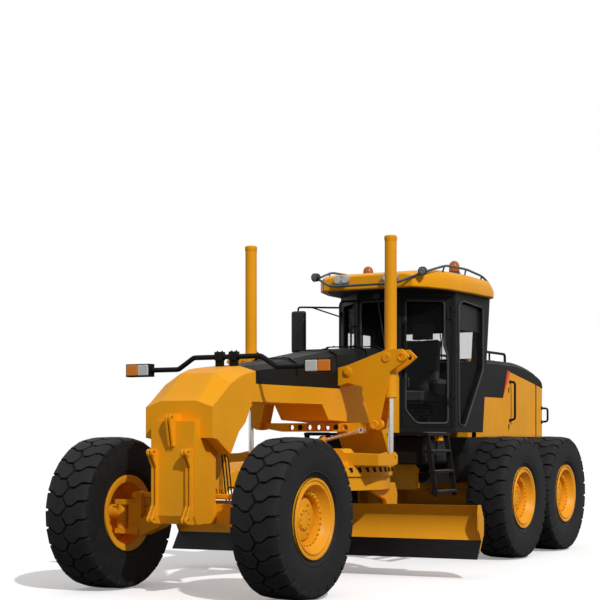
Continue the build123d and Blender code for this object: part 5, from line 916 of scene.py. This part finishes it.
grips.piece("hood_grips", "rear_frame", black, "black_paint", replaces="hood_rails")


# Cab: black posts and doors with tinted safety glass in rubber seals. The doors hang on the rear
# posts. Blinds hang inside the rear and side windows, and each screen has a wiper.
coat(black, "cab_shell door_left door_right cab_console")
CAB_X = -0.1475  # the windscreen's face
DOOR_CORNER_Y = 0.28
DOOR_WAY = Vector((-0.7206, 0.6934, 0))
DOOR_OUT = Vector((0.6934, 0.7206, 0))
REAR_FOOT_X, REAR_FOOT_Z, REAR_LEAN = CAB_X - 1.38, 1.57, (1.61 - 1.38) / 1.725


def moulding(name, colour, roughness):
    """Moulded rubber or plastic with a leathery grain."""
    finish = Finish(name)
    pores = finish.node("ShaderNodeTexVoronoi", Scale=90.0)
    finish.link(finish.place(), "Vector", pores, "Vector")
    patch = finish.noise(3.0, 3.0)
    tone = finish.ramp(patch, "Fac", [(0.3, shade(colour, 0.85)), (0.7, shade(colour, 1.15))])
    finish.link(tone, "Color", finish.shader, "Base Color")
    finish.fix("Specular IOR Level", 0.3)
    finish.gloss(patch, "Fac", roughness - 0.05, roughness + 0.05)
    finish.bump(pores, "Distance", 0.15, 0.001, 0.003)
    return finish.material


seal_rubber = moulding("seal_rubber", (0.052, 0.054, 0.054), 0.6)
trim_plastic = moulding("trim_plastic", (0.014, 0.014, 0.0145), 0.55)

pane = Finish("window_glass")
smear = pane.noise(3.0, 4.0)
tint = pane.ramp(smear, "Fac", [(0.3, (0.012, 0.015, 0.014)), (0.7, (0.018, 0.021, 0.02))])
pane.link(tint, "Color", pane.shader, "Base Color")
pane.gloss(smear, "Fac", 0.03, 0.09)
pane.fix("Specular IOR Level", 0.05)
pane.fix("Alpha", 0.13)
pane.bump(pane.noise(2.5, 1.0), "Fac", 0.02, 0.01)
coat(pane.material, "cab_glass door_glass_left door_glass_right")


def on_door(along_door, out, z, sign):
    """A point on a door's face, from the windscreen corner."""
    spot = Vector((CAB_X, DOOR_CORNER_Y, 0)) + DOOR_WAY * along_door + DOOR_OUT * out
    return (spot.x, sign * spot.y, z)


def on_rear_wall(y, z, inward=0.0):
    """A point on the cab's rear wall, which leans back."""
    return (REAR_FOOT_X - REAR_LEAN * (z - REAR_FOOT_Z) + inward, y, z)


def seal_run(points):
    """The points of a seal that starts and ends in the middle of its last run."""
    middle = (Vector(points[-1]) + Vector(points[0])) / 2
    return [middle] + [Vector(p) for p in points] + [middle]


DOOR_WINDOW = [(0.091, 1.85), (0.226, 1.69), (0.634, 1.69), (0.634, 2.51), (0.589, 2.63),
               (0.589, 3.165), (0.091, 3.165)]
SIDE_WINDOW = [(-0.64, 1.68), (-0.81, 1.65), (-1.375, 2.37), (-1.375, 3.15), (-0.73, 3.19),
               (-0.62, 3.12)]
FRONT_WINDOW = [(-0.225, 1.76), (0.225, 1.76), (0.225, 3.16), (-0.225, 3.16)]
REAR_WINDOW = [(-0.6, 2.48), (0.6, 2.48), (0.6, 3.12), (-0.6, 3.12)]
REAR_BLIND = [(-0.66, 2.86), (0.66, 2.86), (0.66, 3.25), (-0.66, 3.25)]
SEAL = (0.011, 8, 0.05)  # radius, sides and corner rounding of a seal
LATCH = [(0.085, 2.12), (0.135, 2.12), (0.135, 2.24), (0.085, 2.24)]
LATCH_PULL = [(0.01, 2.14), (0.035, 2.15), (0.035, 2.22), (0.01, 2.23)]
LATCH_THICK, PULL_ALONG = 0.012, 0.11
WIPER_ARM, WIPER_BLADE = 0.007, 0.008

for side, sign in SIDES.items():
    seal = Shape()
    seal.tube(seal_run([on_door(u, 0.002, z, sign) for u, z in DOOR_WINDOW]), *SEAL)
    seal.piece(f"door_seal_{side}", f"door_{side}", seal_rubber, "tyre")
    latch = Shape()
    latch.prism([on_door(u, 0.0, z, sign) for u, z in LATCH],
                (LATCH_THICK * DOOR_OUT.x, sign * LATCH_THICK * DOOR_OUT.y, 0))
    latch.tube([on_door(PULL_ALONG, out, z, sign) for out, z in LATCH_PULL], 0.008, 8, 0.012)
    latch.piece(f"door_latch_{side}", f"door_{side}", trim_plastic, "black_paint", bevel=0.004)
    glazing = Shape()
    glazing.tube(seal_run([(CAB_X + x, sign * 0.792, z) for x, z in SIDE_WINDOW]), *SEAL)
    glazing.piece(f"side_seal_{side}", "front_frame", seal_rubber, "tyre")

glazing = Shape()
glazing.tube(seal_run([(CAB_X + 0.002, y, z) for y, z in FRONT_WINDOW]), *SEAL)
glazing.tube(seal_run([on_rear_wall(y, z) for y, z in REAR_WINDOW]), *SEAL)
glazing.piece("screen_seals", "front_frame", seal_rubber, "tyre")

blinds = Shape()
for sign in SIDES.values():
    blinds.side_box(sign, (CAB_X - 1.39, 0.735, 2.84), (CAB_X - 0.62, 0.745, 3.24))
blinds.prism([on_rear_wall(y, z, 0.05) for y, z in REAR_BLIND], (0.01, 0, 0))
blinds.piece("cab_blinds", "front_frame", trim_plastic, "black_paint", bevel=0.002, segments=1)

wiper = Shape()
wiper.box((CAB_X, -0.045, 3.19), (CAB_X + 0.04, 0.045, 3.25))
wiper.tube([(CAB_X + 0.045, 0, 3.22), (CAB_X + 0.045, 0.03, 3.16), (CAB_X + 0.03, 0.12, 2.58)],
           WIPER_ARM, 8)
wiper.tube([(CAB_X + 0.016, 0.12, 2.24), (CAB_X + 0.016, 0.12, 2.90)], WIPER_BLADE, 6)
wiper.box((CAB_X - 1.62, -0.045, 3.19), (CAB_X - 1.575, 0.045, 3.24))
wiper.tube([(CAB_X - 1.63, 0, 3.21), (CAB_X - 1.622, 0.06, 3.1), (CAB_X - 1.548, 0.15, 2.66)],
           WIPER_ARM, 8)
wiper.tube([(CAB_X - 1.525, 0.15, 2.52), (CAB_X - 1.572, 0.15, 2.92)], WIPER_BLADE, 6)
wiper.piece("wipers", "front_frame", trim_plastic, "black_paint", bevel=0.002, segments=1)


# Driver's seat: padded cushions in woven cloth on a sprung base, with a headrest and armrests.
# Each cushion is a crowned pad with stitched channels, whose sides pull in between its corners.
# A steering wheel and short levers stand before it.
SEAT_X, FLOOR_Z = CAB_X - 1.0, 1.635


def cloth(name, colour):
    """Woven seat cloth with a soft sheen."""
    finish = Finish(name)
    weave = finish.node("ShaderNodeTexChecker", Scale=240.0)
    weave.inputs["Color1"].default_value = (*shade(colour, 0.8), 1)
    weave.inputs["Color2"].default_value = (*shade(colour, 1.25), 1)
    finish.link(finish.place(), "Vector", weave, "Vector")
    finish.link(weave, "Color", finish.shader, "Base Color")
    finish.fix("Roughness", 0.9)
    finish.fix("Sheen Weight", 0.3)
    finish.bump(weave, "Fac", 0.3, 0.001)
    return finish.material


seat_cloth = cloth("seat_cloth", (0.035, 0.036, 0.04))
CROWN, PULL = 0.22, 0.035  # shares of a cushion's half depth and half width
CHANNEL_DEPTH, CHANNEL_PLACE, CHANNEL_WIDTH = 0.05, 0.45, 0.06


def cushion(name, centre, half, lean=0.0):
    """A crowned pad: its faces swell, and its sides pull in between the corners."""
    work = bmesh.new()
    bmesh.ops.create_cube(work, size=2.0)
    bmesh.ops.subdivide_edges(work, edges=work.edges, cuts=9, use_grid_fill=True)
    turn = Matrix.Rotation(lean, 3, "Y")
    for vert in work.verts:
        x, y, z = vert.co
        swell = (1 - x * x) * (1 - y * y)
        depth = z * (0.72 + CROWN * swell + 0.06 * (1 - (x * y) ** 2))
        if abs(z) > 0.9:
            stitch = math.exp(-((abs(y) - CHANNEL_PLACE) / CHANNEL_WIDTH) ** 2)
            depth -= math.copysign(CHANNEL_DEPTH * stitch, z)
        spot = Vector((x * half[0] * (1 - PULL * (1 - y * y)),
                       y * half[1] * (1 - PULL * (1 - x * x)), depth * half[2]))
        vert.co = Vector(centre) + turn @ spot
    mesh = bpy.data.meshes.new(name)
    work.to_mesh(mesh)
    work.free()
    mesh.shade_smooth()
    mesh.materials.append(seat_cloth)
    made = bpy.data.objects.new(name, mesh)
    bpy.context.scene.collection.objects.link(made)
    modifier = made.modifiers.new("round", "SUBSURF")
    modifier.levels = modifier.render_levels = 1
    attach(made, "front_frame")


cushion("seat_cushion", (SEAT_X + 0.03, 0, FLOOR_Z + 0.40), (0.25, 0.265, 0.075))
cushion("seat_back", (SEAT_X - 0.235, 0, FLOOR_Z + 0.79), (0.34, 0.245, 0.07),
        lean=math.radians(81))
cushion("seat_headrest", (SEAT_X - 0.29, 0, FLOOR_Z + 1.235), (0.10, 0.135, 0.045),
        lean=math.radians(83))
for side, sign in SIDES.items():
    cushion(f"seat_arm_{side}", (SEAT_X, sign * 0.325, FLOOR_Z + 0.585), (0.19, 0.05, 0.035))

FOLDS, FOLD_PITCH, FOLD_TAPER = 5, 0.045, 0.004  # the rubber bellows under the seat

base = Shape()
base.box((SEAT_X - 0.2, -0.18, FLOOR_Z), (SEAT_X + 0.2, 0.18, FLOOR_Z + 0.08))
for count in range(FOLDS):
    fold_x, fold_z = 0.17 - count * FOLD_TAPER, FLOOR_Z + 0.08 + count * FOLD_PITCH
    base.box((SEAT_X - fold_x, -0.16, fold_z), (SEAT_X + fold_x, 0.16, fold_z + 0.03))
base.box((SEAT_X - 0.22, -0.24, FLOOR_Z + 0.30), (SEAT_X + 0.25, 0.24, FLOOR_Z + 0.345))
base.side_plate([(SEAT_X - 0.26, FLOOR_Z + 0.34), (SEAT_X - 0.21, FLOOR_Z + 0.34),
                 (SEAT_X - 0.29, FLOOR_Z + 1.12), (SEAT_X - 0.33, FLOOR_Z + 1.12)], -0.2, 0.2)
for sign in SIDES.values():
    base.side_plate([(SEAT_X - 0.19, FLOOR_Z + 0.42), (SEAT_X + 0.12, FLOOR_Z + 0.42),
                     (SEAT_X + 0.18, FLOOR_Z + 0.56), (SEAT_X - 0.19, FLOOR_Z + 0.56)],
                    sign * 0.29, sign * 0.36)
    base.rod((SEAT_X - 0.30, sign * 0.06, FLOOR_Z + 1.08),
             (SEAT_X - 0.31, sign * 0.06, FLOOR_Z + 1.2), 0.008, 8)
base.piece("seat_base", "front_frame", trim_plastic, "seat_cloth", bevel=0.008, replaces="cab_seat")

HUB = Vector((CAB_X - 0.40, 0, FLOOR_Z + 0.76))
COLUMN_WAY = Vector((-0.45, 0, 0.893))
WHEEL_RADIUS, GRIP_RADIUS, SPOKES = 0.19, 0.016, 3

wheel = Shape()
wheel.turned([(GRIP_RADIUS * math.sin(t * math.pi / 4),
               WHEEL_RADIUS + GRIP_RADIUS * math.cos(t * math.pi / 4)) for t in range(8)],
             HUB, COLUMN_WAY, 40, closed=True)
wheel.turned([(-0.02, 0), (-0.02, 0.045), (0.012, 0.04), (0.012, 0)], HUB, COLUMN_WAY, 24)
for count in range(SPOKES):
    angle = 2 * math.pi * count / SPOKES
    out = Vector((0.893, 0, 0.45)) * math.cos(angle) + Vector((0, 1, 0)) * math.sin(angle)
    wheel.tube([HUB + out * 0.03, HUB + out * WHEEL_RADIUS], 0.011, 8)
wheel.rod(HUB - COLUMN_WAY * 0.10, HUB, 0.022, 16)
for sign in SIDES.values():
    wheel.side_box(sign, (CAB_X - 0.34, 0.06, FLOOR_Z + 0.60), (CAB_X - 0.24, 0.12, FLOOR_Z + 0.63))
    for lever in range(3):
        foot = Vector((SEAT_X + 0.14, sign * (0.305 + lever * 0.022), FLOOR_Z + 0.60))
        wheel.tube([foot, foot + Vector((0.02, 0, 0.10))], 0.006, 8)
        wheel.rod(foot + Vector((0.02, 0, 0.10)), foot + Vector((0.024, 0, 0.13)), 0.011, 12)
wheel.piece("steering_wheel", "front_frame", trim_plastic, "black_paint")


# Roof: one moulded yellow panel with rounded shoulders that overhangs the cab all round.
# A black liner closes its underside.
ROOF_BOTTOM, SHOULDER_WIDTH = 3.285, 0.18
ROOF_STATIONS = [
    # X, half width, shoulder and crown heights
    (0.1325, 0.60, 3.405, 3.452), (-0.02, 0.715, 3.425, 3.492), (-0.3975, 0.83, 3.44, 3.528),
    (-1.0, 0.868, 3.438, 3.535), (-1.5975, 0.88, 3.43, 3.522), (-1.74, 0.85, 3.40, 3.468),
    (-1.8175, 0.80, 3.352, 3.398),
]
LINER_Z, LINER_THICK = ROOF_BOTTOM - 0.006, 0.008
LINER = [(0.07, 0.56), (-0.40, 0.78), (-1.58, 0.83), (-1.77, 0.76)]  # X, half width

roof = Shape()
sections = []
for x, half, shoulder, crown in ROOF_STATIONS:
    outline = [(half, ROOF_BOTTOM), (half, shoulder - 0.03)]
    for step in range(6):
        angle = math.radians(90 * step / 5)
        outline.append((half - 0.012 - SHOULDER_WIDTH * (1 - math.cos(angle)),
                        shoulder + (crown - shoulder) * math.sin(angle)))
    outline += [(-y, z) for y, z in reversed(outline)]
    sections.append([(x, y, z) for y, z in outline])
roof.lofted(sections)
roof.piece("roof_panel", "front_frame", yellow, "yellow_paint", bevel=0.018, segments=4,
           replaces="cab_roof", sharp=40)
liner = Shape()
liner.prism([(x, -y, LINER_Z) for x, y in LINER] + [(x, y, LINER_Z) for x, y in reversed(LINER)],
            (0, 0, LINER_THICK))
liner.piece("roof_liner", "front_frame", trim_plastic, "black_paint", bevel=0.002)


# Roof rail: a tube that guards the roof's edge and carries the work lamps, bent low in front.
# Two lamps stand on its corners, and a pair looks out of the brow.
rail_steel = paint("rail_paint", (0.055, 0.08, 0.088), 0.4, 0.3, 0.0, edge=0.002)
lamp_shell = paint("lamp_shell", (0.34, 0.36, 0.37), 0.4, 0.3, 0.0, edge=0.002)
RAIL_RADIUS, POST_RADIUS = 0.0145, 0.011
SIDE_RUN = [(0.24, 0.44, 3.325), (0.08, 0.705, 3.45), (-0.42, 0.78, 3.578), (-1.0, 0.79, 3.588),
            (-1.52, 0.79, 3.548), (-1.76, 0.78, 3.47), (-1.79, 0.775, 3.37)]
RAIL_POSTS = ((-0.36, 3.56, 0.75), (-1.0, 3.588, 0.76), (-1.5, 3.55, 0.76))  # X, top, foot's Y

rail = Shape()
rail.tube([(x, -y, z) for x, y, z in reversed(SIDE_RUN)] + SIDE_RUN, RAIL_RADIUS, 12, 0.10)
for sign in SIDES.values():
    for post_x, post_z, foot_y in RAIL_POSTS:
        rail.tube([(post_x, sign * 0.785, post_z), (post_x, sign * foot_y, 3.46)], POST_RADIUS, 8)
    rail.tube([(0.235, sign * 0.36, 3.325), (0.10, sign * 0.36, 3.36)], POST_RADIUS, 8)
rail.piece("roof_rail_tube", "front_frame", rail_steel, "black_paint", replaces="roof_rail")

smoked_lens = lens("smoked_lens", (0.16, 0.18, 0.18))
BROW_LAMPS, BROW_Z = (0.275, 0.375), 3.405

for side, sign in SIDES.items():
    corner = Shape()
    spot, aim = Vector((0.10, sign * 0.715, 3.465)), (1, sign * 0.25, -0.15)
    corner.turned([(-0.055, 0.0), (-0.055, 0.03), (-0.03, 0.05), (0.03, 0.052), (0.036, 0.046),
                   (0.03, 0.042), (0.03, 0.0)], spot, aim, 24)
    corner.rod(spot + Vector((0, -sign * 0.01, -0.03)), (0.085, sign * 0.70, 3.44), 0.012)
    corner.piece(f"corner_lamp_{side}", "front_frame", trim_plastic, "black_paint")
    glass = Shape()
    glass.turned([(0.03, 0.0), (0.040, 0.018), (0.034, 0.042), (0.028, 0.042), (0.028, 0.0)], spot,
                 aim, 24)
    glass.piece(f"corner_lens_{side}", "front_frame", smoked_lens, "black_paint")
    pair = Shape()
    for lamp_y in BROW_LAMPS:
        pair.turned([(-0.05, 0.0), (-0.05, 0.046), (0.018, 0.054), (0.026, 0.048), (0.026, 0.0)],
                    (0.165, sign * lamp_y, BROW_Z), (1, 0, 0), 28)
    pair.side_box(sign, (0.11, BROW_LAMPS[0], BROW_Z - 0.053),
                  (0.185, BROW_LAMPS[1], BROW_Z + 0.053))
    pair.piece(f"brow_lamps_{side}", "front_frame", lamp_shell, "black_paint", bevel=0.004)
    for number, lamp_y in enumerate(BROW_LAMPS):
        glass = Shape()
        glass.turned([(0.0, 0.0), (0.008, 0.02), (0.004, 0.040), (-0.004, 0.043), (-0.004, 0.0)],
                     (0.192, sign * lamp_y, BROW_Z), (1, 0, 0), 28)
        glass.piece(f"brow_lens_{side}_{number}", "front_frame", clear_lens, "black_paint")


# Beacons: amber moulded domes on black rubber feet, one on each side of the roof.
# Each has fine flutes moulded in, and clips on to its foot.
beacon_amber = lens("beacon_amber", (0.44, 0.12, 0.012), 0.0, 30.0)
BEACON_X, BEACON_Y = -1.0675, 0.6

for side, sign in SIDES.items():
    spot = (BEACON_X, sign * BEACON_Y, 0)
    dome = Shape()
    dome.turned([(3.572, 0.0), (3.572, 0.066), (3.64, 0.066), (3.672, 0.059), (3.694, 0.045),
                 (3.707, 0.026), (3.712, 0.0)], spot, (0, 0, 1), 36)
    dome.piece(f"beacon_dome_{side}", "front_frame", beacon_amber, "amber",
               replaces="beacons" if sign > 0 else "", sharp=60)
    foot = Shape()
    foot.turned([(3.50, 0.0), (3.50, 0.08), (3.556, 0.078), (3.562, 0.07), (3.576, 0.07),
                 (3.576, 0.0)], spot, (0, 0, 1), 36)
    foot.piece(f"beacon_foot_{side}", "front_frame", seal_rubber, "tyre")


# Mirror: a moulded housing on a braced tube arm that is bolted to the wall behind the right door.
# Its silvered glass looks back along the machine. A grab rail stands at the windscreen's right.
mirror_face = metal("mirror_face", (0.62, 0.64, 0.65), 0.08)
HOUSING_LOW, HOUSING_HIGH = Vector((-0.535, -1.40, 2.595)), Vector((-0.462, -1.20, 3.125))
RIM_WIDE, RIM_TALL, GLASS_THICK = 0.018, 0.020, 0.010
ARM_ROOT = Vector((-0.858, -0.79, 3.172))
GRAB_ROOT, GRAB_OUT, GRAB_TOP, GRAB_BOTTOM = (-0.14, -0.25), (0.0, -0.435), 3.172, 2.15

housing = Shape()
housing.box(HOUSING_LOW, HOUSING_HIGH)
housing.piece("mirror_housing", "front_frame", trim_plastic, "black_paint", bevel=0.03, segments=4)
silver = Shape()
silver.box(HOUSING_LOW + Vector((-GLASS_THICK / 2, RIM_WIDE, RIM_TALL)),
           (HOUSING_LOW.x + GLASS_THICK / 2, HOUSING_HIGH.y - RIM_WIDE, HOUSING_HIGH.z - RIM_TALL))
silver.piece("mirror_glass", "front_frame", mirror_face, "chrome", bevel=0.02, segments=3)
arms = Shape()
arms.tube([(*GRAB_ROOT, GRAB_TOP), (*GRAB_OUT, GRAB_TOP), (*GRAB_OUT, GRAB_BOTTOM),
           (*GRAB_ROOT, GRAB_BOTTOM)], 0.014, 10, 0.06)
arms.tube([ARM_ROOT, (-0.56, -1.28, 3.178), (-0.5, -1.31, 3.172), (-0.4975, -1.31, 3.08)],
          0.012, 10, 0.04)
arms.tube([(-0.625, -1.17, 3.172), (-0.80, -0.86, 3.055), (ARM_ROOT.x, ARM_ROOT.y, 3.05)],
          0.009, 8, 0.03)
arms.box((ARM_ROOT.x - 0.03, -0.804, 3.0), (ARM_ROOT.x + 0.03, -0.788, 3.205))
arms.piece("mirror_arms", "front_frame", black, "black_paint", replaces="cab_mirror")


# Ladders: black steps between folded stringers, with steel grip strips, below each door.
# A chest with two lids fills the space under the cab floor, and a yellow bracket holds the steps.
coat(black, "ladders")
STEPS, STEP_START = 3, 0.15
LADDER_FOOT_Y, LADDER_FOOT_Z, LADDER_LEAN, LADDER_RISE = 0.915, 0.835, 0.115, 0.705
STRIP_THICK, SILL_Y, SILL_Z = 0.006, 0.79, 1.576
CHEST_NEAR, CHEST_FACE, LID_FACE = 0.34, 0.70, 0.712
LIDS = ((-0.585, -0.305), (-0.275, 0.025))  # X of each lid's ends

treads = Shape()
for sign in SIDES.values():
    for step in range(STEPS):
        share = (step + STEP_START) / STEPS
        step_y = sign * (LADDER_FOOT_Y - share * LADDER_LEAN)
        step_z = LADDER_FOOT_Z + share * LADDER_RISE + 0.028
        for count in range(9):
            grip_x = -0.32 + count * 0.058
            treads.box((grip_x, step_y - 0.05, step_z),
                       (grip_x + 0.02, step_y + 0.04, step_z + STRIP_THICK))
    for count in range(6):
        grip_x = -0.33 + count * 0.09
        treads.side_box(sign, (grip_x, SILL_Y - 0.03, SILL_Z),
                        (grip_x + 0.05, SILL_Y + 0.03, SILL_Z + STRIP_THICK))
treads.piece("step_grips", "front_frame", pin_steel, "steel")

for side, sign in SIDES.items():
    chest = Shape()
    chest.side_box(sign, (-0.62, CHEST_NEAR, 1.20), (0.06, CHEST_FACE, 1.535))
    chest.piece(f"side_chest_{side}", "front_frame", black, "black_paint", bevel=0.02, segments=3)
    lid = Shape()
    for rear_x, front_x in LIDS:
        lid.side_box(sign, (rear_x, CHEST_FACE, 1.235), (front_x, LID_FACE, 1.50))
        latch_x = (rear_x + front_x) / 2
        lid.rod((latch_x, sign * (LID_FACE - 0.004), 1.46),
                (latch_x, sign * (LID_FACE + 0.01), 1.46), 0.016)
    lid.piece(f"chest_lids_{side}", "front_frame", trim_plastic, "black_paint", bevel=0.004)
    tag = Shape()
    tag.side_box(sign, (-0.30, 0.74, 1.478), (-0.18, 0.80, 1.538))
    tag.piece(f"step_bracket_{side}", "front_frame", yellow, "yellow_paint", bevel=0.006)


# Studio: a wide pale floor and a white surround that also shows in metal and glass.
# A low, sharp sun over the camera's right shoulder draws one shadow to the left and back, and a
# broad light from above fills it.
FILL = 0.27  # the surround's light on the machine; the camera sees it at 1.0
LIGHTS = (
    # name, strength, spread in degrees, way it shines
    ("sun", 2.35, 1.2, (-0.707, -1.048, -1.0)), ("sky", 0.38, 100.0, (0.0, 0.0, -1.0)),
)
FLOOR_DARK, FLOOR_LIGHT = (0.94, 0.94, 0.94), (0.96, 0.96, 0.96)
FLOOR_BOUNCE = (0.22, 0.22, 0.22, 1)  # what the machine sees of the floor
FLOOR_LIFT, FLOOR_REACH = 0.27, 60.0

world = bpy.data.worlds.new("studio")
world.use_nodes = True
tree = world.node_tree
surround = tree.nodes["Background"]
surround.inputs["Color"].default_value = (1, 1, 1, 1)
rays = tree.nodes.new("ShaderNodeLightPath")
seen = rays.outputs["Is Camera Ray"]
for kind in ("Is Glossy Ray", "Is Transmission Ray"):
    either = tree.nodes.new("ShaderNodeMath")
    either.operation = "MAXIMUM"
    tree.links.new(seen, either.inputs[0])
    tree.links.new(rays.outputs[kind], either.inputs[1])
    seen = either.outputs[0]
strength = tree.nodes.new("ShaderNodeMapRange")
strength.inputs["To Min"].default_value = FILL
strength.inputs["To Max"].default_value = 1.0
tree.links.new(seen, strength.inputs["Value"])
tree.links.new(strength.outputs["Result"], surround.inputs["Strength"])
bpy.context.scene.world = world

for name, energy, spread, aim in LIGHTS:
    light = bpy.data.lights.new(name, "SUN")
    light.energy = energy
    light.angle = math.radians(spread)
    lamp = bpy.data.objects.new(name, light)
    lamp.rotation_euler = Vector(aim).to_track_quat("-Z", "Y").to_euler()
    bpy.context.scene.collection.objects.link(lamp)

ground = Finish("floor")
patch = ground.noise(0.4, 2.0)
tone = ground.ramp(patch, "Fac", [(0.0, FLOOR_DARK), (1.0, FLOOR_LIGHT)])
rays = ground.node("ShaderNodeLightPath")
mixed = ground.node("ShaderNodeMix", data_type="RGBA")
mixed.inputs[MIX_BELOW].default_value = FLOOR_BOUNCE
ground.link(rays, "Is Camera Ray", mixed, MIX_FACTOR)
ground.link(tone, "Color", mixed, MIX_ABOVE)
ground.link(mixed, MIX_RESULT, ground.shader, "Base Color")
ground.fix("Roughness", 0.9)
ground.fix("Specular IOR Level", 0.0)
ground.fix("Emission Color", (1, 1, 1, 1))
lift = ground.node("ShaderNodeMath", operation="MULTIPLY")
lift.inputs[1].default_value = FLOOR_LIFT
ground.link(rays, "Is Camera Ray", lift, 0)
ground.link(lift, "Value", ground.shader, "Emission Strength")

mesh = bpy.data.meshes.new("floor")
mesh.from_pydata([(-FLOOR_REACH, -FLOOR_REACH, 0), (FLOOR_REACH, -FLOOR_REACH, 0),
                  (FLOOR_REACH, FLOOR_REACH, 0), (-FLOOR_REACH, FLOOR_REACH, 0)],
                 [], [(0, 1, 2, 3)])
mesh.materials.append(ground.material)
floor = bpy.data.objects.new("floor", mesh)
bpy.context.scene.collection.objects.link(floor)
bpy.context.scene.view_settings.view_transform = "Standard"
